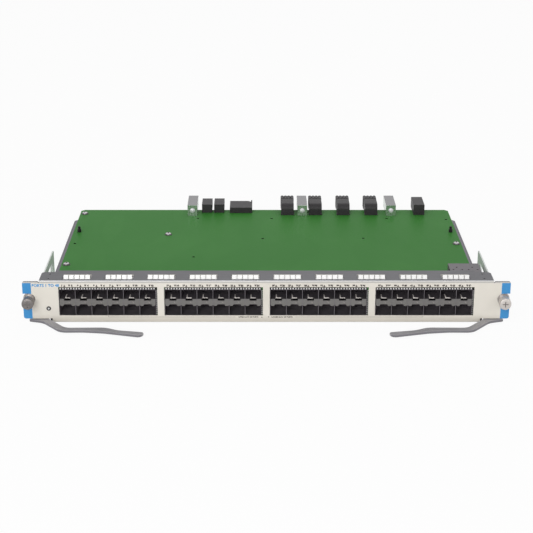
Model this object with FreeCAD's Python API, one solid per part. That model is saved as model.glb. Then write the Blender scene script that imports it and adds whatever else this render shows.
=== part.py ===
import FreeCAD, Part
import math
import os

# Switch line card: a flanged front panel with ears, four blocks of stacked module cages,
# a circuit board on a steel tray, plug-in connectors along its rear edge, an ejector
# lever and a captive thumb screw at each end.
#
# Millimetres. While it is modelled, X = 0 is the middle of the card, Y = 0 the front
# face of the panel with +Y towards the rear connectors, and Z = 0 the underside of the
# tray. The last step moves everything so that the origin is the middle of the bottom of
# the whole card's box.

V = FreeCAD.Vector

# ---------------------------------------------------------------- driving dimensions
# Small holes and fasteners are drawn with this many flat sides; fits and bores are round
small_sides = 8
turned_sides = 16

# Front panel, a flanged profile
panel_width = 433.0
panel_height = 39.8
panel_sheet = 1.5
panel_edge_radius = 0.8       # along its top and bottom edges
panel_corner_radius = 2.0
ear_width = 15.0              # each ear, beyond the middle that carries the flanges
ear_top_drop = 1.0            # the ears end this far below the top flange
ear_bottom = 3.6              # underside of the ears, above the levers
relief_size = 1.5             # 45 degree cut beside each end of the top flange
gate_inset = 8.7              # lever openings under the ears, in from the flanges' ends
top_flange_depth = 21.8
top_flange_corner = 4.0
bottom_flange_depth = 10.0
lip_inset = 13.5              # from the flanges' ends
lip_depth = 7.8
lip_overlap = 1.5
lip_sheet = 1.2

# Captive thumb screws in the ears
screw_from_edge = 5.9
screw_height = 22.1
notch_radius = 5.3
knob_radius = 5.35
knob_length = 7.8
knob_wall = 2.0
knob_pocket_radius = 4.2
knob_teeth = 24
knob_tooth_depth = 0.25
knob_seat_gap = 0.2           # left between knob and panel when the screw is pressed home
recess_span = 4.8
recess_width = 0.9
recess_depth = 1.2
screw_travel = 5.0
shank_radius = 1.5
shank_root = 0.5              # how far the shank reaches into the knob's floor
thread_radius = 2.0
thread_length = 6.0
sleeve_nose_radius = 3.9
sleeve_nose_length = 4.8
sleeve_flange_thickness = 1.2
sleeve_edge_gap = 0.1
ring_radius = 2.7
ring_thickness = 0.6
ring_gap = 0.2
running_gap = 0.07            # radial, between a shaft and its hole
spring_wire = 0.5
spring_turns = 2.5
spring_radius = 3.0
spring_steps = 12
spring_gap = 0.1

# Status light
lamp_inset = 7.6              # from the flanges' end
lamp_height = 13.3
lamp_radius = 1.8
lamp_lens_radius = 0.9
lamp_length = 5.0
lamp_stand = 0.25
lamp_gap = 0.05

# Module cages: blocks of columns, two ports high
block_count = 4
block_margin = 13.9           # from the flanges' ends to the row of block pitches
block_offset = -0.55          # the row of blocks sits this far off the middle
block_gap = 8.3               # between two blocks
column_count = 6
opening_left_gap = 0.6        # panel opening round a block
opening_right_gap = 1.65
opening_lap = 0.1             # the opening starts this far below the board's top
opening_top_gap = 0.15        # above the shielding fingers
roof_drop = 7.3               # from the top flange to the inside of the cages' roof
cage_sheet = 0.3
cage_depth = 46.5
divider_sheet = 0.4
divider_setback = 0.2
separator_height = 6.7
separator_sheet = 0.6
separator_depth = 34.0
separator_notch = 6.2
separator_notch_depth = 1.6
separator_notch_run = 2.2     # how far the upper notch runs back into the shelf
separator_corner = 1.0        # cut off the lower corners
receptacle_side_gap = 1.125   # to the dividers
receptacle_body = 6.0
receptacle_nose = 6.0
receptacle_nose_height = 4.6
finger_count = 6              # shielding fingers on top of each column
finger_width = 1.5
finger_rise = 2.15
finger_front = 0.1
finger_crest = 2.0
finger_depth = 7.0
finger_strip = 3.0
finger_sheet = 0.2

# Shielding gaskets clipped into the top flange
gasket_count = 10
gasket_margin = 14.3          # from the flanges' ends to the row of gasket pitches
gasket_spacing = 14.04        # between two gaskets
gasket_start = 4.0
gasket_length = 11.2
gasket_fingers = 5
gasket_finger_gap = 0.7
gasket_rise = 2.8             # how far the fingers stand above the flange
gasket_crest = 3.1            # from their front end back to their crest
gasket_sheet = 0.3
gasket_tail = 2.0
gasket_slot_margin = 0.8

# Circuit board
board_side_gap = 1.5          # inside the flanges' ends
board_front = 2.0
board_back = 302.2
board_bottom = 4.4
board_thickness = 2.4
board_corner = 3.5
board_hole_radius = 1.5
inner_hole_places = [(-71.9, 29.2), (7.4, 29.2), (-2.5, 94.6), (-71.4, 150.2), (130.7, 29.4),
                     (101.3, 94.0)]      # from the middle, and from the board's rear edge
side_hole_inset = 5.7         # holes near the board's sides
left_hole_from_back = 110.0
right_hole_from_back = 33.0

# Tray under the board, one folded sheet with a rail along each side
tray_sheet = 1.2
tray_back_inset = 9.0         # from the board's rear edge
tray_tongue_length = 17.0     # beyond the rails
tray_tongue_lap = 12.0        # how far the tongue runs in under the rails
tray_tongue_inset = 3.0       # from the flanges' ends
rail_inset = 12.5             # inner walls of the rails, in from the flanges' ends
rail_reach = 3.2              # outer lips, out from the flanges' ends
rail_lip_drop = 3.4
rail_chamfer = 5.0
rail_lip_start = 24.0         # the lips start behind the levers
rail_bend_radius = 1.5
lug_reach = 7.5               # lever lugs at the front of the rails, out from the flanges' ends
lug_depth = 14.0
lug_corner = 3.0
lug_root_inset = 2.5

# Board screws, in standoffs where the tray lies below and in nuts under the rails
inner_screw_place = (-100.5, 82.3)       # from the middle, and from the board's rear edge
side_screw_inset = 5.0        # screws near the board's sides
left_screws_from_back = (13.5, 172.0)
right_screw_from_back = 111.2
board_screw_head_radius = 3.0
board_screw_head_height = 2.2
board_screw_crown = 1.1
board_screw_radius = 1.25
board_screw_gap = 0.15
board_screw_recess = 0.8
standoff_radius = 2.8
nut_radius = 2.8
nut_height = 2.2

# Locating posts near the rear corners of the board
post_inset = 6.1              # from the board's side
post_from_back = 74.0
post_base_radius = 2.0
post_base_height = 3.4
post_top_radius = 1.4
post_height = 6.3

# Side brackets between the rails and the top flange
bracket_sheet = 1.2
bracket_inset = 0.2           # outer face, in from the flanges' ends
bracket_length = 86.5
bracket_drop = 1.0            # behind the flange, below its underside
bracket_web = 7.5
bracket_corner = 2.0
bracket_tab = 13.0
bracket_foot = 1.8
flange_hole_inset = 7.8       # from the flanges' ends
flange_hole_places = (6.0, 17.0)
flange_hole_radius = 1.1

# Cover over the corner behind the last block
corner_inset = 5.4            # right side, in from the flanges' end
corner_width = 28.2
corner_front = 22.0
corner_back = 57.0
corner_drop = 3.3             # below the top flange's underside
corner_sheet = 1.2
corner_hole_radius = 0.9
corner_wall_gap = 1.2         # behind the cages
corner_holes = [(25.0, 16.0), (17.0, 16.0), (11.0, 16.0), (3.0, 16.0), (21.2, 10.0), (7.1, 10.0)]

# Ejector levers: plan outline of the left one from its pivot, (x, y, corner radius)
lever_thickness = 2.3
lever_bottom = 0.7
lever_pivot_reach = 2.5       # out from the flanges' end
lever_pivot_depth = 6.5
lever_eye_radius = 6.5
lever_outline = [
    (4.0, 5.5, 1.0), (11.1, -6.9, 4.0), (26.8, -25.7, 10.0), (62.2, -25.1, 18.0),
    (73.0, -31.3, 26.0), (97.4, -35.9, 2.6), (94.6, -43.8, 4.6), (61.5, -34.7, 30.0),
    (43.5, -32.4, 30.0), (22.8, -32.7, 12.0), (5.0, -11.1, 14.0), (-8.4, -7.1, 1.8),
    (-4.0, 2.5, 2.0)]
lever_pin_radius = 2.5
lever_pin_head_radius = 3.8
lever_pin_head = 0.45
lever_side_gap = 0.12

# Rear connectors, placed by their middles across the card; each starts and ends so far
# before and behind the board's rear edge
guide_places = (-78.0, 40.5, 136.1)
guide_width = 10.5
guide_height = 12.0
guide_front_inset = 21.0
guide_overhang = 14.0
guide_bore_radius = 3.3
guide_bore_depth = 22.0
guide_screw_radius = 1.5
guide_screw_length = 7.0
guide_screw_head_radius = 2.75
guide_screw_head_height = 1.8
guide_screw_dome = [(0.5, 1.0), (0.85, 0.7), (1.0, 0.3), (1.0, 0.0)]  # shares of radius, height
guide_screw_gap = 0.1

socket_places = (-62.6, -49.4)
socket_width = 11.0
socket_height = 9.4
socket_front_inset = 10.2
socket_overhang = 12.2
socket_blade_width = 1.8
socket_blade_height = 6.4
socket_blade_depth = 9.0
socket_blade_spacing = 4.6

supply_place = -25.7
supply_width = 24.3
supply_height = 6.2
supply_front_inset = 11.2
supply_overhang = 13.2
supply_notch = 3.0
supply_tab_width = 1.2
supply_tab_rise = 1.0
supply_contacts = 7
supply_contact_pitch = 2.6
supply_contact_size = 1.2
supply_contact_depth = 5.0

plug_places = (24.7, 55.0, 85.1, 115.1)
plug_width = 13.4
plug_height = 12.0
plug_front_inset = 18.5
plug_body_overhang = 3.0
plug_overhang = 14.3
plug_crown_radius = 6.0
plug_foot = 0.5
plug_foot_length = 8.0
plug_foot_height = 1.0
plug_groove = 1.4
plug_groove_depth = 1.0
plug_collar = 0.4
plug_ribs = 4
plug_slot_width = 1.6
plug_slot_height = 8.4
plug_slot_depth = 4.0

end_place = 166.8
end_width = 11.8
end_height = 11.6
end_front_inset = 18.0
end_overhang = 10.7
end_slot_width = 3.0
end_slot_height = 8.0
end_slot_depth = 8.0
end_slot_spacing = 5.0

# Chips on the underside of the board
switch_chip_size = 45.0
switch_chip_height = 2.4
switch_chip_place = (0.0, 160.0)
port_chip_size = 27.0
port_chip_height = 2.0
port_chip_place = 95.0

# ---------------------------------------------------------------- derived dimensions
half_panel = panel_width / 2
half_body = half_panel - ear_width
half_gate = half_body - gate_inset
lamp_x = lamp_inset - half_body
ear_top = panel_height - ear_top_drop
flange_under = panel_height - panel_sheet
board_half = half_body - board_side_gap
board_top = board_bottom + board_thickness
rail_under = board_bottom - tray_sheet
rail_wall = half_body - rail_inset
rail_outer = half_body + rail_reach
tray_back = board_back - tray_back_inset
rail_end = tray_back - tray_tongue_length
lever_pivot = (-half_body - lever_pivot_reach, lever_pivot_depth)
screw_x = half_panel - screw_from_edge
block_pitch = 2 * (half_body - block_margin) / block_count
column_pitch = (block_pitch - block_gap) / column_count
half_block = column_count * column_pitch / 2
receptacle_width = column_pitch - divider_sheet - 2 * receptacle_side_gap
gasket_pitch = 2 * (half_body - gasket_margin) / gasket_count
gasket_width = gasket_pitch - gasket_spacing
floor_top = board_top + cage_sheet
port_height = (flange_under - roof_drop - floor_top - separator_height) / 2
separator_bottom = floor_top + port_height
separator_top = separator_bottom + separator_height
roof_under = separator_top + port_height
roof_top = roof_under + cage_sheet
opening_rise = (board_top - opening_lap, roof_top + finger_rise + opening_top_gap)
lever_top = lever_bottom + lever_thickness
block_places = [block_offset + (i - (block_count - 1) / 2) * block_pitch for i in range(block_count)]
board_hole_places = [(x, board_back - y) for x, y in inner_hole_places] + [
    (side_hole_inset - board_half, board_back - left_hole_from_back),
    (board_half - side_hole_inset, board_back - right_hole_from_back)]
board_screw_places = [
    (inner_screw_place[0], board_back - inner_screw_place[1]),
    *((side_screw_inset - board_half, board_back - y) for y in left_screws_from_back),
    (board_half - side_screw_inset, board_back - right_screw_from_back)]
guide_front, guide_back = board_back - guide_front_inset, board_back + guide_overhang
socket_front, socket_back = board_back - socket_front_inset, board_back + socket_overhang
supply_front, supply_back = board_back - supply_front_inset, board_back + supply_overhang
plug_front, plug_back = board_back - plug_front_inset, board_back + plug_overhang
plug_step = board_back + plug_body_overhang
end_front, end_back = board_back - end_front_inset, board_back + end_overhang
knob_back = -screw_travel - knob_seat_gap
knob_front = knob_back - knob_length
knob_floor = knob_front + knob_wall
sleeve_back = panel_sheet + sleeve_flange_thickness
ring_start = sleeve_back + ring_gap


# ---------------------------------------------------------------- shape helpers
def plan(u, v):
    return V(u, v, 0)


def front(u, v):
    return V(u, 0, v)


def side(u, v):
    return V(0, u, v)


NORMALS = {plan: V(0, 0, 1), front: V(0, 1, 0), side: V(1, 0, 0)}


def rounded(before, corner, after):
    """First point, middle point and last point of the arc that rounds a corner."""
    u, v, radius = corner
    to_before = (before[0] - u, before[1] - v)
    to_after = (after[0] - u, after[1] - v)
    au, av = (c / math.hypot(*to_before) for c in to_before)
    bu, bv = (c / math.hypot(*to_after) for c in to_after)
    half = math.acos(au * bu + av * bv) / 2
    run = radius / math.tan(half)
    depth = (radius / math.sin(half) - radius) / math.hypot(au + bu, av + bv)
    return ((u + au * run, v + av * run), (u + (au + bu) * depth, v + (av + bv) * depth),
            (u + bu * run, v + bv * run))


def outline(corners, plane):
    """Closed wire through (u, v) corners; a third value rounds that corner with an arc."""
    stretches = []
    for i, corner in enumerate(corners):
        if len(corner) == 3 and corner[2] > 0:
            stretches.append(rounded(corners[i - 1], corner, corners[(i + 1) % len(corners)]))
        else:
            stretches.append((corner[:2],))
    edges = []
    for i, stretch in enumerate(stretches):
        if len(stretch) == 3:
            edges.append(Part.Arc(*(plane(*p) for p in stretch)).toShape())
        start, end = plane(*stretch[-1]), plane(*stretches[(i + 1) % len(stretches)][0])
        if start.distanceToPoint(end) > 1e-6:
            edges.append(Part.LineSegment(start, end).toShape())
    return Part.Wire(edges)


def plate(corners, plane, low, high):
    """Solid of an outline, from low to high along the normal of its plane."""
    face = Part.Face(outline(corners, plane))
    face.translate(NORMALS[plane] * low)
    return face.extrude(NORMALS[plane] * (high - low))


def box(x, y, z):
    """Box between the two ends of each of three ranges."""
    return Part.makeBox(x[1] - x[0], y[1] - y[0], z[1] - z[0], V(x[0], y[0], z[0]))


def around(middle, size):
    """Range of a size about its middle."""
    return middle - size / 2, middle + size / 2


def turned(profile, sides, place, axis):
    """Solid of (radius, height) pairs swept round an axis through place, with flat sides."""
    turn = FreeCAD.Rotation(V(0, 0, 1), axis)
    rings = []
    for radius, height in profile:
        angles = [2 * math.pi * (i + 0.5) / sides for i in range(sides)]
        rings.append([place + turn.multVec(V(radius * math.cos(a), radius * math.sin(a), height))
                      for a in angles])
    faces = [Part.Face(Part.makePolygon(ring + ring[:1])) for ring in (rings[0], rings[-1])]
    for low, high in zip(rings, rings[1:]):
        for i in range(sides):
            a, b = low[i - 1], low[i]
            c, d = high[i], high[i - 1]
            faces.append(Part.Face(Part.makePolygon([a, b, c, d, a])))
    return Part.makeSolid(Part.makeShell(faces))


def rod(radius, start, end, sides=0):
    """Round bar between two points; with sides, a prism of that many sides."""
    axis = end - start
    if sides:
        return turned([(radius, 0.0), (radius, axis.Length)], sides, start, axis)
    return Part.makeCylinder(radius, axis.Length, start, axis)


def rod_y(radius, x, y, z, sides=0):
    return rod(radius, V(x, y[0], z), V(x, y[1], z), sides)


def rod_z(radius, x, y, z, sides=0):
    return rod(radius, V(x, y, z[0]), V(x, y, z[1]), sides)


def joined(shapes):
    """One solid of shapes that touch or overlap."""
    first, *rest = shapes
    return first.fuse(rest).removeSplitter() if rest else first


def cut(shape, tools):
    return shape.cut(tools)


def moved(shape, x=0.0, y=0.0, z=0.0):
    copy = shape.copy()
    copy.translate(V(x, y, z))
    return copy


def mirrored(shape):
    """The same shape on the other side of the card."""
    return shape.mirror(V(0, 0, 0), V(1, 0, 0))


def group(shapes):
    return Part.makeCompound(shapes)


# ---------------------------------------------------------------- front panel
def panel_outline():
    """Front view of the panel: ears with their lever openings below and reliefs above."""
    right = [
        (half_gate - ear_bottom, 0.0), (half_gate, ear_bottom),
        (half_panel, ear_bottom, panel_corner_radius), (half_panel, ear_top, panel_corner_radius),
        (half_body + relief_size, ear_top), (half_body, ear_top - relief_size),
        (half_body, panel_height)]
    left = [(-c[0], *c[1:]) for c in reversed(right)]
    return right + left


def make_faceplate():
    section = [
        (bottom_flange_depth, 0.0), (0.0, 0.0, panel_edge_radius),
        (0.0, panel_height, panel_edge_radius), (top_flange_depth, panel_height),
        (top_flange_depth, flange_under), (panel_sheet, flange_under),
        (panel_sheet, panel_sheet), (bottom_flange_depth, panel_sheet)]
    middle = plate(section, side, -half_body, half_body)
    middle = middle.common(plate(panel_outline(), front, -1.0, top_flange_depth + 1.0))
    corner = top_flange_corner
    middle = middle.common(plate(
        [(-half_body, -1.0), (half_body, -1.0), (half_body, top_flange_depth, corner),
         (-half_body, top_flange_depth, corner)], plan, 0.0, panel_height))
    ears = plate(panel_outline(), front, 0.0, panel_sheet).cut(
        box((-half_body, half_body), (-1.0, panel_sheet + 1.0), (-1.0, panel_height + 1.0)))
    lip = box(around(0.0, 2 * (half_body - lip_inset)),
              (top_flange_depth - lip_overlap, top_flange_depth + lip_depth),
              (flange_under - lip_sheet, flange_under))
    panel = joined([middle, ears, lip])
    through = (-1.0, panel_sheet + 1.0)
    tools = [box((x - half_block - opening_left_gap, x + half_block + opening_right_gap), through,
                 opening_rise) for x in block_places]
    for sign in (-1, 1):
        tools.append(rod_y(notch_radius, sign * screw_x, through, screw_height))
        tools.append(box(sorted((sign * screw_x, sign * (half_panel + 1.0))), through,
                         around(screw_height, 2 * notch_radius)))
        tools += [rod_z(flange_hole_radius, sign * (half_body - flange_hole_inset), y,
                        (flange_under - 1.0, panel_height + 1.0), small_sides)
                  for y in flange_hole_places]
    tools.append(rod_y(lamp_radius + lamp_gap, lamp_x, through, lamp_height, turned_sides))
    margin = gasket_slot_margin
    tools += [box(around(x, gasket_width + 2 * margin),
                  (gasket_start - margin / 2, gasket_start + gasket_length + margin / 2),
                  (flange_under - 1.0, panel_height + 1.0)) for x in gasket_places()]
    return cut(panel, tools)


def gasket_places():
    return [(i - (gasket_count - 1) / 2) * gasket_pitch for i in range(gasket_count)]


def make_gasket():
    """Strip clipped under the flange, with arched fingers standing through its slot."""
    start, end, crest = gasket_start, gasket_start + gasket_length, gasket_start + gasket_crest
    low, top, t = flange_under - gasket_sheet, panel_height + gasket_rise, gasket_sheet
    strip = box(around(0.0, gasket_width + 2 * gasket_tail), (start - t, end + t), (low, flange_under))
    arch = [(start, flange_under), (crest, top), (end, flange_under), (end - t, flange_under),
            (crest, top - t), (start + t, flange_under)]
    width = (gasket_width - gasket_finger_gap * (gasket_fingers - 1)) / gasket_fingers
    step = width + gasket_finger_gap
    fingers = [plate(arch, side, *around((i - (gasket_fingers - 1) / 2) * step, width))
               for i in range(gasket_fingers)]
    return joined([strip] + fingers)


def make_gaskets():
    gasket = make_gasket()
    return group([moved(gasket, x) for x in gasket_places()])


def make_status_lens():
    """Round lamp body in the panel with a small raised lens."""
    profile = [(lamp_lens_radius, -2 * lamp_stand), (lamp_lens_radius, -lamp_stand),
               (lamp_radius, -lamp_stand), (lamp_radius, lamp_length)]
    return turned(profile, turned_sides, V(lamp_x, 0.0, lamp_height), V(0, 1, 0))


# ---------------------------------------------------------------- module cages
def column_places(x):
    """Middles of the columns of the block at x."""
    return [x + (i - (column_count - 1) / 2) * column_pitch for i in range(column_count)]


def make_cage_shell(x):
    """Roof, two sides and rear wall of a block, folded from one sheet."""
    outer = half_block + cage_sheet
    whole = box((x - outer, x + outer), (0.0, cage_depth), (board_top, roof_top))
    inside = box((x - half_block, x + half_block), (-1.0, cage_depth - cage_sheet),
                 (board_top - 1.0, roof_under))
    return whole.cut(inside)


def make_cage_floor(x):
    return box((x - half_block, x + half_block), (0.0, cage_depth - cage_sheet), (board_top, floor_top))


def make_dividers(x):
    """Upright sheets between the columns."""
    places = [x + (i - column_count / 2) * column_pitch for i in range(1, column_count)]
    y = (divider_setback, cage_depth - cage_sheet)
    return group([box(around(p, divider_sheet), y, (floor_top, roof_under)) for p in places])


def make_separator(x):
    """Folded channel between the two ports of a column, notched for the module latches."""
    half = (column_pitch - divider_sheet) / 2
    low, high, t = separator_bottom, separator_top, separator_sheet
    n, d, c, run = separator_notch / 2, separator_notch_depth, separator_corner, separator_notch_run
    face = plate([(x - half, low + c), (x - half + c, low), (x - n - d / 2, low), (x - n, low + d),
                  (x + n, low + d), (x + n + d / 2, low), (x + half - c, low), (x + half, low + c),
                  (x + half, high), (x + n, high), (x + n, high - d), (x - n, high - d),
                  (x - n, high), (x - half, high)], front, 0.0, t)
    shelf = [(x - half, t), (x - n, t), (x - n, run), (x + n, run), (x + n, t), (x + half, t),
             (x + half, separator_depth), (x - half, separator_depth)]
    below = box((x - half, x + half), (t, separator_depth), (low + d, low + d + t / 2))
    return joined([face, below, plate(shelf, plan, high - t / 2, high)])


def make_separators(x):
    return group([make_separator(p) for p in column_places(x)])


def make_receptacle(x):
    """Connector at the rear of a column: an upright body with a nose in each port."""
    back = cage_depth - cage_sheet
    body_front = back - receptacle_body
    nose_front = body_front - receptacle_nose
    section = [(back, floor_top), (back, roof_under), (body_front, roof_under)]
    middles = [separator_top + port_height / 2, floor_top + port_height / 2]
    for z in middles:
        top, bottom = z + receptacle_nose_height / 2, z - receptacle_nose_height / 2
        section += [(body_front, top), (nose_front, top), (nose_front, bottom), (body_front, bottom)]
    section.append((body_front, floor_top))
    return plate(section, side, *around(x, receptacle_width))


def make_receptacles(x):
    return group([make_receptacle(p) for p in column_places(x)])


def make_cage_springs(x):
    """Comb of shielding fingers on the roof, pressing up against the panel's opening."""
    base, top = roof_top + finger_sheet, roof_top + finger_rise
    strip = box((x - half_block, x + half_block), (finger_front, finger_depth + finger_strip),
                (roof_top, base))
    arch = [(finger_front, base), (finger_crest, top), (finger_depth, base)]
    pitch = column_pitch / finger_count
    fingers = [plate(arch, side, *around(x - half_block + (i + 0.5) * pitch, finger_width))
               for i in range(finger_count * column_count)]
    return joined([strip] + fingers)


# ---------------------------------------------------------------- board and tray
def make_board():
    half = board_half
    board = plate([(-half, board_front), (half, board_front), (half, board_back - board_corner),
                   (half - board_corner, board_back), (board_corner - half, board_back),
                   (-half, board_back - board_corner)], plan, board_bottom, board_top)
    through = (board_bottom - 1.0, board_top + 1.0)
    tools = [rod_z(board_hole_radius, x, y, through, small_sides) for x, y in board_hole_places]
    tools += [rod_z(board_screw_radius + board_screw_gap, x, y, through, small_sides)
              for x, y in board_screw_places]
    return cut(board, tools)


def make_tray():
    """Floor with a rail folded up and out along each side, and a lug for each lever pin."""
    t = tray_sheet
    wall, outer = rail_wall, rail_outer
    top, under, r = board_bottom, rail_under, rail_bend_radius
    right = [(wall + t, 0.0, r), (wall + t, under), (outer - t, under),
             (outer - t, top - rail_lip_drop), (outer, top - rail_lip_drop), (outer, top, r),
             (wall, top), (wall, t)]
    left = [(-c[0], *c[1:]) for c in reversed(right)]
    start = bottom_flange_depth
    rails = plate(right + left, front, start, rail_end)
    front_run = box((wall, outer), (panel_sheet, start), (under, top))
    reach = half_body + lug_reach
    lug = plate([(wall, panel_sheet), (reach, panel_sheet), (reach, lug_depth, lug_corner),
                 (outer - lug_root_inset, lug_depth), (wall, lug_depth)], plan, under, top)
    half, lap = half_body - tray_tongue_inset, rail_end - tray_tongue_lap
    tongue = plate([(-half, lap), (half, lap), (half, tray_back, rail_chamfer),
                    (-half, tray_back, rail_chamfer)], plan, 0.0, t)
    tray = joined([rails, tongue, lug, mirrored(lug), front_run, mirrored(front_run)])
    lip_room = box((outer - t - 0.01, outer + 1.0), (0.0, rail_lip_start), (-1.0, under))
    corner = plate([(outer + 1.0, rail_end - rail_chamfer - 1.0), (outer + 1.0, rail_end + 1.0),
                    (outer - rail_chamfer - 1.0, rail_end + 1.0)], plan, t + 0.01, top + 1.0)
    pin = rod_z(lever_pin_radius, -lever_pivot[0], lever_pivot[1], (under - 1.0, top + 1.0))
    tools = [lip_room, mirrored(lip_room), corner, mirrored(corner), pin, mirrored(pin)]
    tools += [rod_z(board_screw_radius + board_screw_gap, x, y, (under - 1.0, top + 1.0), small_sides)
              for x, y in board_screw_places if on_rail(x, y)]
    return cut(tray, tools)


def on_rail(x, y):
    """Whether a place on the board lies over a rail, not over the tray's floor."""
    return abs(x) > rail_wall and y < rail_end


def make_board_screw(x, y):
    """Pan head with a cross recess, and the shank down to the tray's floor or nut."""
    end = rail_under - nut_height if on_rail(x, y) else tray_sheet
    top = board_top + board_screw_head_height
    crown, head = board_screw_crown, board_screw_head_radius
    screw = turned([(board_screw_radius, end), (board_screw_radius, board_top), (head, board_top),
                    (head, top - crown), (head - crown, top)], small_sides, V(x, y, 0), V(0, 0, 1))
    span, width = 2 * (head - crown), board_screw_recess
    recess = [box(around(x, a), around(y, b), (top - crown, top + 1.0))
              for a, b in ((span, width), (width, span))]
    return cut(screw, recess)


def make_board_screws():
    return group([make_board_screw(x, y) for x, y in board_screw_places])


def make_standoffs():
    """A hexagonal standoff on the tray's floor, or a nut under the rail, for each board screw."""
    parts = []
    for x, y in board_screw_places:
        z = (rail_under - nut_height, rail_under) if on_rail(x, y) else (tray_sheet, board_bottom)
        radius = nut_radius if on_rail(x, y) else standoff_radius
        corners = [(x + radius * math.cos(math.pi * i / 3), y + radius * math.sin(math.pi * i / 3))
                   for i in range(6)]
        bore = rod_z(board_screw_radius, x, y, (z[0] - 1, z[1] + 1), small_sides)
        parts.append(plate(corners, plan, *z).cut(bore))
    return group(parts)


def make_post(sign):
    """Stepped locating post standing on the board."""
    profile = [(post_base_radius, 0.0), (post_base_radius, post_base_height),
               (post_top_radius, post_base_height), (post_top_radius, post_height)]
    place = V(sign * (board_half - post_inset), board_back - post_from_back, board_top)
    return turned(profile, small_sides, place, V(0, 0, 1))


def make_posts():
    return group([make_post(-1), make_post(1)])


def make_chips():
    under = board_bottom
    return group([box(around(x, port_chip_size), around(port_chip_place, port_chip_size),
                      (under - port_chip_height, under)) for x in block_places])


def make_switch_chip():
    x, y = switch_chip_place
    return box(around(x, switch_chip_size), around(y, switch_chip_size),
               (board_bottom - switch_chip_height, board_bottom))


# ---------------------------------------------------------------- brackets
def make_side_bracket():
    """Right-hand bracket: an upright truss plate with a foot on the rail and a tab above."""
    t, web = bracket_sheet, bracket_web
    low, mid, high = board_bottom, flange_under - bracket_drop, flange_under
    x = (half_body - bracket_inset - t, half_body - bracket_inset)
    start, end, step = panel_sheet, bracket_length, top_flange_depth
    upright = plate([(start, low), (end, low), (end, mid, bracket_corner), (step + high - mid, mid),
                     (step, high), (start, high)], side, *x)
    z0, z1 = low + web, mid - web
    y0, y1 = step + web, end - web
    middle = (y0 + y1) / 2
    windows = [plate([(y0, z0), (middle - web, z0), (y0, z1)], side, x[0] - 1, x[1] + 1),
               plate([(y1, z0), (middle + web, z0), (y1, z1)], side, x[0] - 1, x[1] + 1),
               plate([(y0 + web, z1), (y1 - web, z1), (middle, z0)], side, x[0] - 1, x[1] + 1)]
    foot = box((x[0], x[1] + bracket_foot), (lug_depth, end), (low, low + t))
    tab = box((x[1] - bracket_tab, x[1]), (start, step), (high - t, high))
    holes = [rod_z(flange_hole_radius, half_body - flange_hole_inset, y, (high - t - 1, high + 1),
                   small_sides) for y in flange_hole_places]
    return cut(joined([upright, foot, tab]), windows + holes)


def make_corner_bracket():
    """Cover over the corner behind the last block: roof, rear wall and inner wall."""
    t, top, right, back = corner_sheet, flange_under - corner_drop, half_body - corner_inset, corner_back
    left = right - corner_width
    roof = box((left, right), (corner_front, back), (top - t, top))
    rear = box((left, right), (back - t, back), (board_top, top))
    inner = box((left, left + t), (cage_depth + corner_wall_gap, back), (board_top, top))
    holes = [rod_z(corner_hole_radius, right - from_right, back - from_back, (top - t - 1, top + 1),
                   small_sides) for from_right, from_back in corner_holes]
    return cut(joined([roof, rear, inner]), holes)


# ---------------------------------------------------------------- levers and thumb screws
def make_lever():
    """Left lever: a flat cranked blade with a pivot eye and a claw that hooks the frame."""
    x, y = lever_pivot
    blade = plate([(x + u, y + v, radius) for u, v, radius in lever_outline], plan, lever_bottom, lever_top)
    eye = rod_z(lever_eye_radius, x, y, (lever_bottom, lever_top))
    bore = rod_z(lever_pin_radius + running_gap, x, y, (lever_bottom - 1, lever_top + 1))
    return joined([blade, eye]).cut(bore)


def make_lever_pin():
    """Pin pressed into the tray's lug, with its head under the left lever."""
    x, y = lever_pivot
    head_top = lever_bottom - lever_side_gap
    return joined([
        rod_z(lever_pin_head_radius, x, y, (head_top - lever_pin_head, head_top), turned_sides),
        rod_z(lever_pin_radius, x, y, (head_top, board_bottom))])


def make_lever_pins():
    pin = make_lever_pin()
    return group([pin, mirrored(pin)])


def make_sleeve(x):
    """Sleeve pressed into the ear's notch; the thumb screw runs in its bore."""
    flange = screw_from_edge - sleeve_edge_gap
    profile = [(sleeve_nose_radius, -sleeve_nose_length), (sleeve_nose_radius, 0.0), (notch_radius, 0.0),
               (notch_radius, panel_sheet), (flange, panel_sheet), (flange, sleeve_back)]
    bore = rod_y(shank_radius + running_gap, x, (-sleeve_nose_length - 1, sleeve_back + 1), screw_height)
    return turned(profile, turned_sides, V(x, 0, screw_height), V(0, 1, 0)).cut(bore)


def make_sleeves():
    return group([make_sleeve(-screw_x), make_sleeve(screw_x)])


def knob_outline(x, z):
    """Toothed rim of the knob."""
    corners = []
    for i in range(2 * knob_teeth):
        radius = knob_radius if i % 2 else knob_radius - knob_tooth_depth
        angle = math.pi * i / knob_teeth
        corners.append((x + radius * math.cos(angle), z + radius * math.sin(angle)))
    return corners


def make_thumb_screw(x):
    """Knob with a cross recess and a pocket for the spring, shank and threaded end."""
    z = screw_height
    knob = plate(knob_outline(x, z), front, knob_front, knob_back)
    pocket = rod_y(knob_pocket_radius, x, (knob_floor, knob_back + 1), z, turned_sides)
    thread_start = ring_start + ring_thickness
    shank = rod_y(shank_radius, x, (knob_floor - shank_root, thread_start), z)
    thread = rod_y(thread_radius, x, (thread_start, thread_start + thread_length), z)
    recess = [box(around(x, a), (knob_front - 1, knob_front + recess_depth), around(z, b))
              for a, b in ((recess_span, recess_width), (recess_width, recess_span))]
    return joined([knob.cut(pocket), shank, thread]).cut(recess)


def make_screw_ring(x):
    """Retaining ring on the shank behind the sleeve."""
    y = (ring_start, ring_start + ring_thickness)
    return rod_y(ring_radius, x, y, screw_height, turned_sides).cut(
        rod_y(shank_radius + running_gap, x, (y[0] - 1, y[1] + 1), screw_height))


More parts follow.
